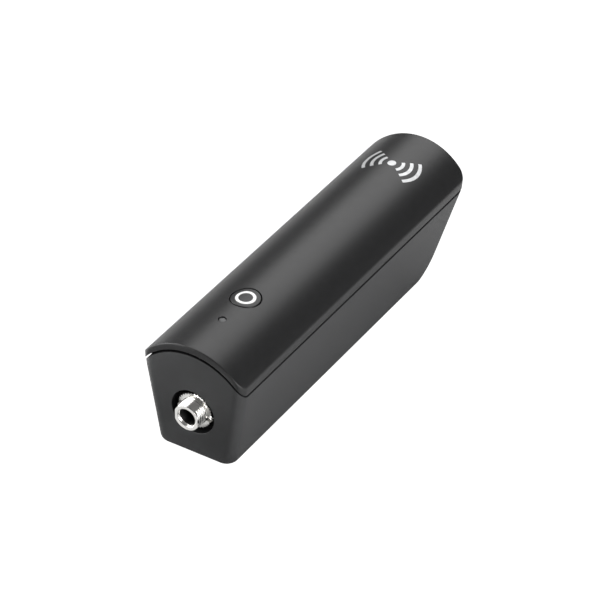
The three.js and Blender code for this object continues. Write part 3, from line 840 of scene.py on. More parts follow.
@dataclass
class Tub:
    """Tapered tub with its tongue, posts and bosses, and the openings for both sockets."""

    corner: float = 2.2
    top_edge: float = 0.06
    ledge_drop: float = 0.15
    tongue_inset: float = 1.1
    tongue_rise: float = 0.7
    recess_diameter: float = 10.2
    recess_depth: float = 2.0
    recess_floor: float = 1.4
    recess_edge: float = 0.12
    socket_hole: float = 6.5
    pocket_width: float = 12.6
    pocket_height: float = 6.8
    pocket_corner: float = 2.2
    pocket_floor: float = 1.2
    port_width: float = 9.54
    port_height: float = 3.86
    post_diameter: float = 3.4
    post_hole: float = 1.8
    clearance: float = 0.3
    root: float = 0.9
    wall_levels: tuple[float, float] = (9.0, 13.0)
    last_level_under_seam: float = 0.6
    post_top: float = 14.55
    post_hole_foot: float = 9.1
    port_reach: float = 4.2
    beyond: float = 4.3

    def build(self) -> None:
        """Make the tub, add what stands in it and cut its openings."""
        tub = self._skin()
        combine(tub, self._bosses(), Join.ADD)
        combine(tub, self._openings(), Join.CUT)
        combine(tub, self._port_hole(), Join.CUT)
        smooth(tub.data, CASING_SHARP)
        # Painted shade on the joint and recess faces.
        self._paint_recess_shade(tub)
        settle(tub, HOUSING, "shell_plastic", "lower_shell")

    def _paint_recess_shade(self, tub: bpy.types.Object) -> None:
        """Paint shade on the faces in the joint under the lid and round the socket: a near-black,
        dull colour.

        Args:
            tub: The finished tub.
        """
        # Painted shade: near-black, dull colour on faces in the joint and in the socket recess.
        tub.data.materials.append(RECESS_SHADE_PAINT.build())
        ledge = -self.ledge_drop - self.top_edge
        for face in tub.data.polygons:
            place = face.center / MM
            depth = place.y - FRONT
            out = math.hypot(place.x, place.z - LAYOUT.socket_height)
            above = place.z - float(OUTLINE.seam(place.x))
            in_recess = (2 * self.recess_edge < depth < self.recess_depth + 0.01
                         and out < self.recess_diameter / 2 + 0.02)
            in_joint = above > 0.02 or (above > ledge and face.normal.z > 0.02)
            if in_recess or in_joint:
                face.material_index = 1

    @staticmethod
    def _level(height: float) -> Callable:
        """Give the rule of a level loop."""
        return lambda x: np.full_like(x, height)

    def _levels(self, floor: float) -> list[float]:
        """Give the heights at which the walls are cut, close together round the lower edges.

        Args:
            floor: Height of the surface's floor.

        Returns:
            Heights from the floor to the straight part of the seam.
        """
        radius = OUTLINE.far_fillet - floor
        sweep = math.pi / 2 - OUTLINE.far_slant
        fillet = [OUTLINE.far_fillet - radius * math.cos(sweep * i / 24) for i in range(25)]
        small = []
        for outside_edge in (OUTLINE.underside_edge, OUTLINE.front_edge):
            edge = max(outside_edge - floor, 0.3)
            small += [floor + edge * (1 - math.cos(math.pi / 2 * i / 6)) for i in range(1, 7)]
        last = OUTLINE.seam_height - self.last_level_under_seam
        return sorted(set(np.round(fillet + small, 4))) + [*self.wall_levels, last]

    def _skin(self) -> bpy.types.Object:
        """Make the tub's wall: up its outside, over its edge and tongue, and down its inside.

        Returns:
            The closed tub.
        """
        skin = LoopSkin(across=36, corner=8, along=48)
        wall, inner = LAYOUT.wall, self.corner - LAYOUT.wall
        tongue_corner = self.corner - self.tongue_inset
        for index, height in enumerate(self._levels(0)):
            skin.loop(0, self.corner, self._level(height))
            if index == 0:
                skin.cap()
        edge = self.top_edge
        drop = self.ledge_drop
        skin.loop(0, self.corner, OUTLINE.over_seam(-drop - edge - 0.1))
        for inward, up in arc_steps(edge, 4):
            skin.loop(inward, self.corner - inward, OUTLINE.over_seam(up - edge - drop))
        skin.loop(self.tongue_inset, tongue_corner, OUTLINE.over_seam(-drop))
        skin.loop(self.tongue_inset, tongue_corner, OUTLINE.over_seam(self.tongue_rise))
        skin.loop(wall, inner, OUTLINE.over_seam(self.tongue_rise))
        skin.loop(wall, inner, OUTLINE.over_seam(-0.1))
        for height in reversed(self._levels(wall)):
            skin.loop(wall, inner, self._level(height))
        skin.cap()
        return skin.piece("tub", TUB_PLASTIC)

    def _bosses(self) -> bpy.types.Object:
        """Make the posts under the board and the thicker walls round both sockets.

        Returns:
            All of them as one tool, sunk into the walls.
        """
        radius = self.recess_diameter / 2 + LAYOUT.wall
        inside = self.recess_depth + self.recess_floor
        front, front_faces = turned_points([(radius, self.root), (radius, inside)], 64)
        bodies = [(along_body(front, LAYOUT.socket_height), front_faces)]
        low = LAYOUT.port_middle - self.pocket_height / 2 - self.pocket_floor
        high = LAYOUT.port_middle + self.pocket_height / 2 + self.pocket_floor
        foot = LAYOUT.pocket_face - self.pocket_floor
        section = [(foot, low), (float(OUTLINE.far(np.array(low), self.root)), low),
                   (float(OUTLINE.far(np.array(high), self.root)), high), (foot, high)]
        half = self.pocket_width / 2 + LAYOUT.wall
        bodies.append(extruded(section, "x", -half, half))
        for side in (-1, 1):
            for place in (LAYOUT.front_posts, LAYOUT.far_posts):
                post, faces = turned_points([(self.post_diameter / 2, self.root),
                                             (self.post_diameter / 2, self.post_top)], 32)
                bodies.append((post + (side * LAYOUT.post_side, place, 0), faces))
        points, faces = joined(bodies)
        return mesh_piece("boss_tool", points, faces, TUB_PLASTIC)

    def _openings(self) -> bpy.types.Object:
        """Make what is cut away: the socket's recess and hole, the far pocket and small holes.

        Returns:
            All of them as one tool.
        """
        recess, edge = self.recess_diameter / 2, self.recess_edge
        rim = [(recess + edge * (1 - math.sin(turn)), edge * (1 - math.cos(turn)))
               for turn in np.linspace(0.15, math.pi / 2, 5)]
        profile = [(recess + edge, -1), *rim, (recess, self.recess_depth),
                   (self.socket_hole / 2, self.recess_depth), (self.socket_hole / 2, 5)]
        points, faces = turned_points(profile, 96)
        bodies = [(along_body(points, LAYOUT.socket_height), faces)]
        bodies.append(extruded(
            rounded_outline(self.pocket_width, self.pocket_height, self.pocket_corner,
                            LAYOUT.port_middle), "y", LAYOUT.pocket_face,
            OUTLINE.length + self.beyond))
        for side in (-1, 1):
            for place in (LAYOUT.front_posts, LAYOUT.far_posts):
                hole, faces = turned_points([(self.post_hole / 2, self.post_hole_foot),
                                             (self.post_hole / 2, LAYOUT.board_top)], 24)
                bodies.append((hole + (side * LAYOUT.post_side, place, 0), faces))
            for place in LAYOUT.hook_places:
                bodies.append(self._hook_pocket(side, place))
        points, faces = joined(bodies)
        return mesh_piece("opening_tool", points, faces, TUB_PLASTIC)

    def _hook_pocket(self, side: int, place: float) -> tuple[np.ndarray, list]:
        """Make the pocket in a side wall that takes a hook's catch.

        Args:
            side: Minus one or one.
            place: The hook's place along the body.

        Returns:
            The pocket's points and faces.
        """
        bottom, gap = Lid.hook_bottom, self.clearance
        catch = bottom + Lid.hook_catch_height
        low = float(OUTLINE.side(np.array(bottom), LAYOUT.wall)) - gap
        high = float(OUTLINE.side(np.array(catch), LAYOUT.wall)) + Lid.hook_catch
        section = [(side * low, bottom - gap), (side * high, bottom - gap),
                   (side * high, catch + gap), (side * low, catch + gap)]
        reach = Lid.hook_length / 2 + gap
        return extruded(section, "y", place - reach, place + reach)

    def _port_hole(self) -> bpy.types.Object:
        """Make the plug that cuts the hole for the charging socket.

        Returns:
            The plug.
        """
        points, faces = extruded(
            rounded_outline(self.port_width, self.port_height, self.port_height / 2 - 0.05,
                            LAYOUT.port_middle), "y", LAYOUT.pocket_face - self.port_reach,
            LAYOUT.pocket_face + 1)
        return mesh_piece("port_hole_tool", points, faces, TUB_PLASTIC)


# ------------------------------------------------------------------------------------------
# Button, status light and print


def printed_patch(name: str, finish: Finish, centre: float,
                  strips: Sequence[tuple[float, float, float, float]]) -> bpy.types.Object:
    """Lay thin ink in ring-shaped strips on the lid's upper face.

    Args:
        name: Name of the piece.
        finish: The ink.
        centre: Place of the rings' middle, counted from the front face.
        strips: Inner radius, outer radius, first angle and last angle in degrees of each.

    Returns:
        The printed piece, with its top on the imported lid's own top.
    """
    film, sunk, columns = 0.012, -0.03, 5
    bodies = []
    for inner, outer, first, last in strips:
        steps = max(int(abs(last - first) / 3), 10)
        radii, angles = np.meshgrid(np.linspace(inner, outer, columns),
                                    np.radians(np.linspace(first, last, steps + 1)))
        x = (radii * np.cos(angles)).ravel()
        y = (radii * np.sin(angles)).ravel() + centre
        points = np.vstack([np.column_stack([x, y, OUTLINE.top(x) + level])
                            for level in (film, sunk)])
        under, faces = len(x), []
        for row in range(steps):
            for column in range(columns - 1):
                a = row * columns + column
                b = a + columns
                faces.append((a, a + 1, b + 1, b))
                faces.append((a + under, b + under, b + under + 1, a + under + 1))
            for column in (0, columns - 1):
                a = row * columns + column
                faces.append((a, a + columns, a + columns + under, a + under))
        if last - first < 360:
            for row in (0, steps):
                for column in range(columns - 1):
                    a = row * columns + column
                    faces.append((a, a + under, a + under + 1, a + 1))
        bodies.append((points, faces))
    points, faces = joined(bodies)
    return mesh_piece(name, points, faces, finish)


@dataclass
class Button:
    """Cap flush with the lid, with its retaining flange, its stem and a printed ring."""

    cap_diameter: float = 6.3
    flange_diameter: float = 7.8
    flange_thickness: float = 0.8
    flange_top: float = 24.96
    stem_diameter: float = 2.6
    stem_foot: float = 20.45
    edge: float = 0.18
    ring_outside: float = 4.3
    ring_inside: float = 3.0

    def build(self) -> None:
        """Make the cap and the ring printed on it."""
        cap = self._cap()
        settle(cap, BUTTON, "cover_plastic", "button_cap")
        ring = printed_patch("button_ring", WHITE_INK, LAYOUT.button_place,
                             [(self.ring_inside / 2, self.ring_outside / 2, 0, 360)])
        settle(ring, BUTTON, "white_nylon")

    def _cap(self) -> bpy.types.Object:
        """Turn the cap and bend its top to the lid's arch.

        Returns:
            The closed cap.
        """
        top = float(OUTLINE.top(0.0))
        cap, stem, flange = (d / 2 for d in (self.cap_diameter, self.stem_diameter,
                                             self.flange_diameter))
        profile = [(AXIS, self.stem_foot), (stem, self.stem_foot),
                   (stem, self.flange_top - self.flange_thickness),
                   (flange, self.flange_top - self.flange_thickness),
                   (flange, self.flange_top), (cap, self.flange_top)]
        profile += [(cap - inward, top - self.edge + up)
                    for inward, up in arc_steps(self.edge, 5)]
        profile += [(r, top) for r in np.linspace(cap - self.edge - 0.1, AXIS, 7)]
        points, faces = turned_points(profile, 72)
        upper = points[:, 2] > self.flange_top + 0.01
        points[upper, 2] += OUTLINE.top(points[upper, 0]) - top
        points[:, 1] += LAYOUT.button_place
        return mesh_piece("button", points, faces, LID_PLASTIC)


@dataclass
class StatusLight:
    """Light pipe with a slightly domed end just under the lid's upper face."""

    diameter: float = 1.1
    head: float = 1.46
    head_foot: float = 25.5
    collar: float = 2.7
    foot: float = 16.65
    collar_top: float = 25.1
    collar_thickness: float = 0.8
    top: float = 26.3
    dome: float = 0.06

    def build(self) -> None:
        """Turn the pipe with its collar."""
        rod, collar = self.diameter / 2, self.collar / 2
        low = self.collar_top - self.collar_thickness
        profile = [(AXIS, self.foot), (rod, self.foot), (rod, low), (collar, low),
                   (collar, self.collar_top), (rod, self.collar_top),
                   (rod, self.head_foot - 0.15), (self.head / 2, self.head_foot)]
        profile += [(self.head / 2 * math.cos(turn), self.top - self.dome * (1 - math.sin(turn)))
                    for turn in np.linspace(0, math.pi / 2 - 0.02, 7)]
        points, faces = turned_points(profile, 40)
        pipe = mesh_piece("light_guide", points + (0, LAYOUT.light_place, 0), faces,
                          SMOKED_ACRYLIC)
        settle(pipe, HOUSING, "clear_acrylic", "light_pipe")


@dataclass
class Emblem:
    """Plain radio-wave pictogram printed in silver near the far end of the lid."""

    dot: float = 0.95
    stroke: float = 0.75
    radii: tuple[float, ...] = (2.5, 4.3, 6.1)
    spread: float = 38.0

    def build(self) -> None:
        """Print the dot and the waves on both sides of it."""
        strips = [(0.02, self.dot, 0, 360)]
        for middle in self.radii:
            for side in (0, 180):
                strips.append((middle - self.stroke / 2, middle + self.stroke / 2,
                               side - self.spread, side + self.spread))
        emblem = printed_patch("radio_emblem", SILVER_INK, LAYOUT.emblem_place, strips)
        settle(emblem, HOUSING, "nickel")


# ------------------------------------------------------------------------------------------
# Locking socket


@dataclass
class Socket:
    """Threaded bushing of the locking socket with its ring nut.

    The thread's real pitch is 0.5. It is drawn a little coarser, because turns that close would
    not show.
    """

    reach: float = 2.3
    bore: float = 3.6
    mouth: float = 4.3
    mouth_depth: float = 0.6
    rim: float = 5.3
    rim_round: float = 0.24
    crest: float = 5.9
    pitch: float = 0.6
    depth: float = 0.38
    thread_start: float = 0.4
    thread_shape: float = 1.3
    rows_per_turn: int = 20
    flat: float = 5.4
    flange: float = 7.8
    flange_face: float = 3.9
    end: float = 4.9
    nut_diameter: float = 8.4
    nut_bore: float = 6.0
    nut_front: float = 0.55
    nut_back: float = 1.95
    nut_chamfer: float = 0.12
    tooth_count: int = 36
    tooth_depth: float = 0.35
    slot_width: float = 1.0
    slot_depth: float = 0.7
    nut_turn: float = math.radians(15)

    def build(self) -> None:
        """Make the bushing and the nut."""
        settle(self._bushing(), HOUSING, "nickel", "socket_bushing")
        settle(self._nut(), HOUSING, "nickel", "socket_ring_nut")

    def _thread(self, angles: np.ndarray, radius: float, place: float) -> np.ndarray:
        """Give the radius round the bushing at one place, with its thread and its two flats.

        Args:
            angles: Angles round the axis.
            radius: Radius of the plain shape there.
            place: Place along the axis.

        Returns:
            The radius at each angle.
        """
        radii = np.full_like(angles, radius)
        if self.crest / 2 - 0.01 < radius < self.crest / 2 + 0.01 and place < self.flange_face:
            turn = (place / self.pitch + angles / TAU) % 1.0
            radii = radii - self.depth * (1 - np.abs(2 * turn - 1)) ** self.thread_shape
        if place < self.flange_face and radius > self.rim / 2:
            radii = np.minimum(radii, self.flat / 2 / np.maximum(np.abs(np.cos(angles)), 1e-6))
        return radii

    def _bushing(self) -> bpy.types.Object:
        """Turn the bushing: mouth, rim, chamfer, thread, flange, and a bore coloured black as
        painted shade.

        Returns:
            The closed bushing.
        """
        start = -self.reach
        bore, crest = self.bore / 2, self.crest / 2
        profile = [(bore, start + self.mouth_depth), (self.mouth / 2 - 0.05, start + 0.1),
                   (self.mouth / 2 + 0.05, start + 0.03), (self.mouth / 2 + 0.15, start)]
        profile += [(self.rim / 2 + inward, start + self.rim_round - up)
                    for inward, up in arc_steps(self.rim_round, 6)[::-1]]
        first, last = start + self.thread_start, self.flange_face - 0.02
        rows = int((last - first) / self.pitch * self.rows_per_turn)
        profile += [(crest, place) for place in np.linspace(first, last, rows)]
        profile += [(self.flange / 2, self.flange_face), (self.flange / 2, self.end),
                    (bore, self.end), (bore, start + self.mouth_depth)]
        points, faces = turned_points(profile, 180, self._thread)
        bushing = mesh_piece("bushing", along_body(points, LAYOUT.socket_height), faces, NICKEL, 32)
        # Painted shade: the bore's faces get black nylon, standing for the dark depth of the bore.
        bushing.data.materials.append(BLACK_NYLON.build())
        for face in bushing.data.polygons:
            corners = [bushing.data.vertices[i].co / MM for i in face.vertices]
            if all(math.hypot(c.x, c.z - LAYOUT.socket_height) < bore + 0.02 for c in corners):
                face.material_index = 1
        return bushing

    def _teeth(self, angles: np.ndarray, radius: float, place: float) -> np.ndarray:
        """Give the radius round the nut at one place, with its teeth.

        Args:
            angles: Angles round the axis.
            radius: Radius of the plain shape there.
            place: Place along the axis.

        Returns:
            The radius at each angle.
        """
        if radius < self.nut_bore / 2 + 0.2:
            return np.full_like(angles, radius)
        wave = np.abs(2 * ((angles * self.tooth_count / TAU) % 1.0) - 1)
        return radius - self.tooth_depth * (1 - wave)

    def _nut(self) -> bpy.types.Object:
        """Turn the nut with its teeth and cut its driver slots.

        Returns:
            The closed nut.
        """
        outer, bore, edge = self.nut_diameter / 2, self.nut_bore / 2, self.nut_chamfer
        front, back = self.nut_front, self.nut_back
        profile = [(bore, front + edge), (bore + edge, front), (outer - edge, front),
                   (outer, front + edge), (outer, back - edge), (outer - edge, back),
                   (bore, back), (bore, front + edge)]
        points, faces = turned_points(profile, self.tooth_count * 6, self._teeth)
        nut = mesh_piece("ring_nut", along_body(points, LAYOUT.socket_height), faces, NICKEL, 30)
        slot, slot_faces = extruded([(-6, -self.slot_width / 2), (6, -self.slot_width / 2),
                                     (6, self.slot_width / 2), (-6, self.slot_width / 2)],
                                    "y", front - 1, front + self.slot_depth)
        cosine, sine = math.cos(self.nut_turn), math.sin(self.nut_turn)
        across, up = slot[:, 0].copy(), slot[:, 2].copy()
        slot[:, 0] = across * cosine + up * sine
        slot[:, 2] = up * cosine - across * sine + LAYOUT.socket_height
        combine(nut, mesh_piece("slot_tool", slot, slot_faces, NICKEL), Join.CUT)
        smooth(nut.data, 30)
        return nut


# ------------------------------------------------------------------------------------------
# Repeated small pieces


class Pattern:
    """A Geometry Nodes tree with named inputs that ends in one plain mesh."""

    def __init__(self, name: str) -> None:
        """Start an empty tree.

        Args:
            name: Name of the tree.
        """
        self.tree = bpy.data.node_groups.new(name, "GeometryNodeTree")
        self.tree.interface.new_socket("Geometry", in_out="OUTPUT",
                                       socket_type="NodeSocketGeometry")
        self.identifiers: dict[str, str] = {}
        self.values = add_node(self.tree, "NodeGroupInput")

    def size(self, name: str, kind: str = "NodeSocketFloat") -> bpy.types.NodeSocket:
        """Add a named input.

        Args:
            name: Name of the input.
            kind: Its socket type.

        Returns:
            The socket inside the tree.
        """
        item = self.tree.interface.new_socket(name, in_out="INPUT", socket_type=kind)
        self.identifiers[name] = item.identifier
        return self.values.outputs[name]

    def close(self, geometry: bpy.types.NodeSocket, finish: Finish) -> None:
        """End the tree with plain geometry in one finish.

        Args:
            geometry: What has been made, with its instances.
            finish: The surface it gets.
        """
        plain = add_node(self.tree, "GeometryNodeRealizeInstances", {"Geometry": geometry})
        dressed = add_node(self.tree, "GeometryNodeSetMaterial", {
            "Geometry": plain.outputs["Geometry"], "Material": finish.build()})
        add_node(self.tree, "NodeGroupOutput", {"Geometry": dressed.outputs["Geometry"]})

    def grow(self, name: str, values: dict) -> bpy.types.Object:
        """Run the tree and keep its result as a plain piece.

        Args:
            name: Name of the piece.
            values: Value of each named input, with lengths in metres.

        Returns:
            The piece, at the origin and without a modifier.
        """
        piece = bpy.data.objects.new(name, bpy.data.meshes.new(name))
        bpy.context.scene.collection.objects.link(piece)
        change = piece.modifiers.new("pattern", "NODES")
        change.node_group = self.tree
        for key, value in values.items():
            change[self.identifiers[key]] = value
        bake_modifiers(piece)
        return piece


def block_rows(name: str, finish: Finish) -> Pattern:
    """Make a tree that lays small blocks in a level grid, each a little different in length.

    Args:
        name: Name of the tree.
        finish: The surface of the blocks.

    Returns:
        The tree, ready to be run.
    """
    rows = Pattern(name)
    across = rows.size("Across")
    along = rows.size("Along")
    columns = rows.size("Columns", "NodeSocketInt")
    lines = rows.size("Lines", "NodeSocketInt")
    middle = rows.size("Middle", "NodeSocketVector")
    block = rows.size("Block", "NodeSocketVector")
    uneven = rows.size("Uneven")
    seed = rows.size("Seed", "NodeSocketInt")
    grid = add_node(rows.tree, "GeometryNodeMeshGrid", {
        "Size X": across, "Size Y": along, "Vertices X": columns, "Vertices Y": lines})
    cube = add_node(rows.tree, "GeometryNodeMeshCube", {"Size": block})
    shortest = add_node(rows.tree, "ShaderNodeMath", {0: 1.0, 1: uneven}, operation="SUBTRACT")
    length = add_node(rows.tree, "FunctionNodeRandomValue", {
        "Min": shortest.outputs["Value"], "Max": 1.0, "Seed": seed}, data_type="FLOAT")
    scale = add_node(rows.tree, "ShaderNodeCombineXYZ", {
        "X": 1.0, "Y": length.outputs["Value"], "Z": 1.0})
    laid = add_node(rows.tree, "GeometryNodeInstanceOnPoints", {
        "Points": grid.outputs["Mesh"], "Instance": cube.outputs["Mesh"],
        "Scale": scale.outputs["Vector"]})
    moved = add_node(rows.tree, "GeometryNodeTransform", {
        "Geometry": laid.outputs["Instances"], "Translation": middle})
    rows.close(moved.outputs["Geometry"], finish)
    return rows


@dataclass
class ChargingPort:
    """Folded metal shell of the charging socket, its tongue, and the contacts on the tongue."""

    width: float = 8.94
    height: float = 3.26
    sheet: float = 0.3
    lip: float = 0.08
    contact_count: int = 12
    contact_pitch: float = 0.5
    contact_width: float = 0.26
    contact_length: float = 2.6
    contact_height: float = 0.06
    contact_setback: float = 0.3
    tongue_half: float = 0.35
    tongue_end: float = 81.45

    def build(self) -> None:
        """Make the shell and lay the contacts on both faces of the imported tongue."""
        settle(self._shell(), HOUSING, "tinned_steel", "charging_port_shell")
        contacts = block_rows("contact_rows", GOLD)
        reach = (self.contact_count - 1) * self.contact_pitch
        middle = FRONT + self.tongue_end - self.contact_length / 2 - self.contact_setback
        for name, side in (("upper_contacts", 1), ("lower_contacts", -1)):
            row = contacts.grow(name, {
                "Across": reach * MM, "Along": 0.0, "Columns": self.contact_count, "Lines": 2,
                "Middle": (0.0, middle * MM,
                           (LAYOUT.port_middle + side * self.tongue_half) * MM),
                "Block": (self.contact_width * MM, self.contact_length * MM,
                          self.contact_height * MM),
                "Uneven": 0.0, "Seed": 1})
            settle(row, HOUSING, "spring_bronze")

    def _shell(self) -> bpy.types.Object:
        """Loft the folded shell round its outline, with rounded lips at its mouth.

        Returns:
            The closed shell.
        """
        foot, mouth, lip, sheet = LAYOUT.port_foot, LAYOUT.port_mouth, self.lip, self.sheet
        rings = [(0, foot), (0, mouth - lip), (0.3 * lip, mouth - 0.3 * lip), (lip, mouth),
                 (sheet - lip, mouth), (sheet - 0.3 * lip, mouth - 0.3 * lip),
                 (sheet, mouth - lip), (sheet, foot), (0, foot)]
        points, faces = [], []
        for inset, place in rings:
            flat = rounded_outline(self.width - 2 * inset, self.height - 2 * inset,
                                   self.height / 2 - inset - 0.05, LAYOUT.port_middle)
            points.append([(x, place, z) for x, z in flat])
        count = len(points[0])
        for ring in range(len(rings) - 1):
            faces += [(ring * count + i, ring * count + (i + 1) % count,
                       (ring + 1) * count + (i + 1) % count, (ring + 1) * count + i)
                      for i in range(count)]
        return mesh_piece("port_shell", np.vstack(points), faces, TIN, 35)


@dataclass
class BoardParts:
    """Small chip resistors and capacitors in rows beside the board's larger parts."""

    side: float = 5.75
    rows: int = 26
    first: float = 22.5
    last: float = 70.0
    block: tuple[float, float, float] = (0.5, 1.0, 0.35)
    row_gap: float = 1.0
    solder: float = 0.01
    uneven: float = 0.35

    def build(self) -> None:
        """Lay a row of each kind along both edges of the board."""
        for name, finish, slot, side, seed in (
                ("chip_resistors", RESIN, "chip_resin", self.side, 5),
                ("chip_capacitors", CERAMIC, "ceramic", self.side + self.row_gap, 9)):
            row = block_rows(name + "_rows", finish).grow(name, {
                "Across": 2 * side * MM, "Along": (self.last - self.first) * MM, "Columns": 2,
                "Lines": self.rows,
                "Middle": (0.0, (FRONT + (self.first + self.last) / 2) * MM,
                           (LAYOUT.board_top + self.block[2] / 2 + self.solder) * MM),
                "Block": tuple(size * MM for size in self.block), "Uneven": self.uneven,
                "Seed": seed})
            settle(row, HOUSING, slot)


# ------------------------------------------------------------------------------------------
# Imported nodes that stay, and the studio


def dress_nodes() -> None:
    """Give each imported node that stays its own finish."""
    for name, finish in NODE_FINISHES.items():
        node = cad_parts[name]
        node.data.materials.clear()
        node.data.materials.append(finish.build())
        LOG.info("%s: dressed in %s", name, finish.name)


@dataclass
class Softbox:
    """One soft light: its middle, what it points at, its size and its power."""

    name: str
    place: tuple[float, float, float]
    aim: tuple[float, float, float]
    width: float
    height: float
    power: float

    def build(self) -> None:
        """Hang the light and turn it to its aim."""
        data = bpy.data.lights.new(self.name, "AREA")
        data.shape = "RECTANGLE"
        data.size, data.size_y, data.energy = self.width, self.height, self.power
        light = bpy.data.objects.new(self.name, data)
        light.visible_camera = False
        place = Vector(self.place)
        light.location = place
        light.rotation_euler = (Vector(self.aim) - place).to_track_quat("-Z", "Y").to_euler()
        bpy.context.scene.collection.objects.link(light)


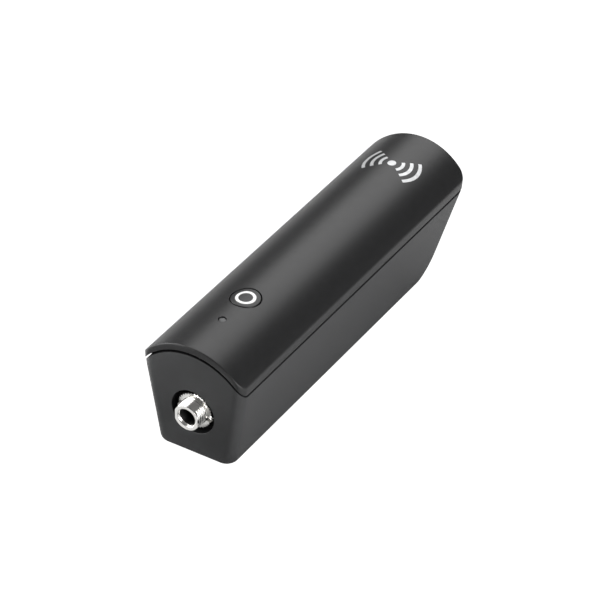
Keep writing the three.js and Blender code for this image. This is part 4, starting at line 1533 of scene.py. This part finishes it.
@dataclass
class Studio:
    """White table, dim surroundings, soft lights and the camera.

    The back left box gives the lid its long highlight, and the left and right boxes light the
    lid's edge and the near side. The two small ones by the socket light the front face's left end
    and the socket's rim.
    """

    floor_size: float = 6.0
    shown_height: float = -0.00004
    lit_height: float = -0.00002
    shown_glow: float = 1.05
    table_colour: str = "#f4f4f4"
    # Painted shadow: a soft-edged grey patch on the lit table, in front of and right of the body.
    shadow_patch_colour: str = "#808080"
    shadow_patch_low: tuple[float, float] = (-0.030, -0.130)
    shadow_patch_high: tuple[float, float] = (0.006, -0.050)
    shadow_patch_blur: float = 0.012
    surroundings: float = 0.17
    lens: float = 174.43
    sensor: float = 36.0
    camera_place: tuple[float, float, float] = (0.260507, -0.413686, 0.373429)
    camera_right: tuple[float, float, float] = (0.84506, 0.53466, -0.00229)
    camera_up: tuple[float, float, float] = (-0.31692, 0.50435, 0.80324)
    camera_view: tuple[float, float, float] = (-0.43061, 0.67807, -0.59565)
    lights: list[Softbox] = field(default_factory=lambda: [
        Softbox("back_left_box", (-0.19, 0.70, 0.75), (0, 0, 0.015), 0.76, 0.82, 5.3),
        Softbox("left_box", (-0.52, -0.02, 0.44), (0, 0, 0), 0.40, 0.40, 2.6),
        Softbox("right_box", (0.45, -0.17, 0.17), (0, 0, 0.005), 0.30, 0.30, 2.5),
        Softbox("near_left_box", (-0.040, -0.064, 0.022), (-0.003, -0.045, 0.01), 0.05, 0.05,
                0.022),
        Softbox("rim_reflector", (-0.0034, -0.0512, 0.0056), (0, -0.0458, 0.0104), 0.009, 0.009,
                0.00014),
    ])

    def build(self) -> None:
        """Set the table, the lights, the surroundings and the camera."""
        bpy.context.scene.view_settings.view_transform = "Standard"
        self._table()
        self._world()
        for light in self.lights:
            light.build()
        self._camera()

    def _table(self) -> None:
        """Lay a white table that the camera sees, and the matte table that lights the part."""
        shown = self._sheet("white_table", self.shown_height, "#ffffff", self.shown_glow)
        shown.visible_diffuse = shown.visible_glossy = False
        shown.visible_transmission = shown.visible_shadow = False
        lit = self._sheet("matte_table", self.lit_height, self.table_colour, 0.0)
        lit.visible_camera = False
        # Painted shadow on the lit table.
        self._paint_shadow_patch(lit.data.materials[0].node_tree)

    def _paint_shadow_patch(self, tree: bpy.types.NodeTree) -> None:
        """Paint a soft-edged dark patch on the lit table, a painted shadow which the near faces
        mirror.

        Args:
            tree: Node tree of the table's material.
        """
        low, high = Vector((*self.shadow_patch_low, 0)), Vector((*self.shadow_patch_high, 0))
        place = add_node(tree, "ShaderNodeTexCoord").outputs["Object"]
        moved = add_node(tree, "ShaderNodeVectorMath", {0: place, 1: (low + high) / 2},
                         operation="SUBTRACT")
        mirrored = add_node(tree, "ShaderNodeVectorMath", {0: moved.outputs["Vector"]},
                            operation="ABSOLUTE")
        beyond = add_node(tree, "ShaderNodeVectorMath", {
            0: mirrored.outputs["Vector"], 1: (high - low) / 2}, operation="SUBTRACT")
        outside = add_node(tree, "ShaderNodeVectorMath", {
            0: beyond.outputs["Vector"], 1: (0.0, 0.0, 0.0)}, operation="MAXIMUM")
        distance = add_node(tree, "ShaderNodeVectorMath", {0: outside.outputs["Vector"]},
                            operation="LENGTH")
        share = add_node(tree, "ShaderNodeMapRange", {
            "Value": distance.outputs["Value"], "From Max": self.shadow_patch_blur},
            interpolation_type="SMOOTHSTEP")
        colour = add_node(tree, "ShaderNodeMix", {
            "Factor": share.outputs["Result"], 6: linear(self.shadow_patch_colour),
            7: linear(self.table_colour)}, data_type="RGBA")
        shader = tree.nodes["Principled BSDF"]
        tree.links.new(colour.outputs[2], shader.inputs["Base Color"])

    def _sheet(self, name: str, height: float, colour: str, glow: float) -> bpy.types.Object:
        """Lay one flat sheet of the stage.

        Args:
            name: Name of the sheet.
            height: Its height in metres.
            colour: Its colour.
            glow: How strongly it shines.

        Returns:
            The sheet.
        """
        half = self.floor_size / 2
        mesh = bpy.data.meshes.new(name)
        mesh.from_pydata([(-half, -half, height), (half, -half, height), (half, half, height),
                          (-half, half, height)], [], [(0, 1, 2, 3)])
        material = bpy.data.materials.new(name)
        material.use_nodes = True
        shader = material.node_tree.nodes["Principled BSDF"]
        shader.inputs["Base Color"].default_value = linear(colour)
        shader.inputs["Roughness"].default_value = 0.9
        shader.inputs["Specular IOR Level"].default_value = 0.0
        shader.inputs["Emission Color"].default_value = (1, 1, 1, 1)
        shader.inputs["Emission Strength"].default_value = glow
        mesh.materials.append(material)
        sheet = bpy.data.objects.new(name, mesh)
        bpy.context.scene.collection.objects.link(sheet)
        return sheet

    def _world(self) -> None:
        """Make the surroundings white to the eye and dim to the part."""
        world = bpy.data.worlds.new("studio")
        world.use_nodes = True
        tree = world.node_tree
        tree.nodes.clear()
        path = add_node(tree, "ShaderNodeLightPath")
        strength = add_node(tree, "ShaderNodeMapRange", {
            "Value": path.outputs["Is Camera Ray"], "To Min": self.surroundings, "To Max": 1.1})
        sky = add_node(tree, "ShaderNodeBackground", {
            "Color": (1, 1, 1, 1), "Strength": strength.outputs["Result"]})
        add_node(tree, "ShaderNodeOutputWorld", {"Surface": sky.outputs["Background"]})
        bpy.context.scene.world = world

    def _camera(self) -> None:
        """Place the camera."""
        data = bpy.data.cameras.new("camera")
        data.lens, data.sensor_width = self.lens, self.sensor
        data.clip_start, data.clip_end = 0.01, 20
        camera = bpy.data.objects.new("camera", data)
        columns = (self.camera_right, self.camera_up, [-c for c in self.camera_view])
        turn = Matrix([[column[row] for column in columns] for row in range(3)])
        camera.matrix_world = Matrix.Translation(self.camera_place) @ turn.to_4x4()
        bpy.context.scene.collection.objects.link(camera)
        bpy.context.scene.camera = camera


# ------------------------------------------------------------------------------------------


def main() -> None:
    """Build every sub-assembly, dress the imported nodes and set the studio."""
    logging.basicConfig(level=logging.INFO, format="%(message)s")
    for assembly in (Tub(), Lid(), Button(), StatusLight(), Emblem(), Socket(), ChargingPort(),
                     BoardParts()):
        LOG.info("building %s", type(assembly).__name__)
        assembly.build()
    dress_nodes()
    Studio().build()


if __name__ == "__main__":
    main()
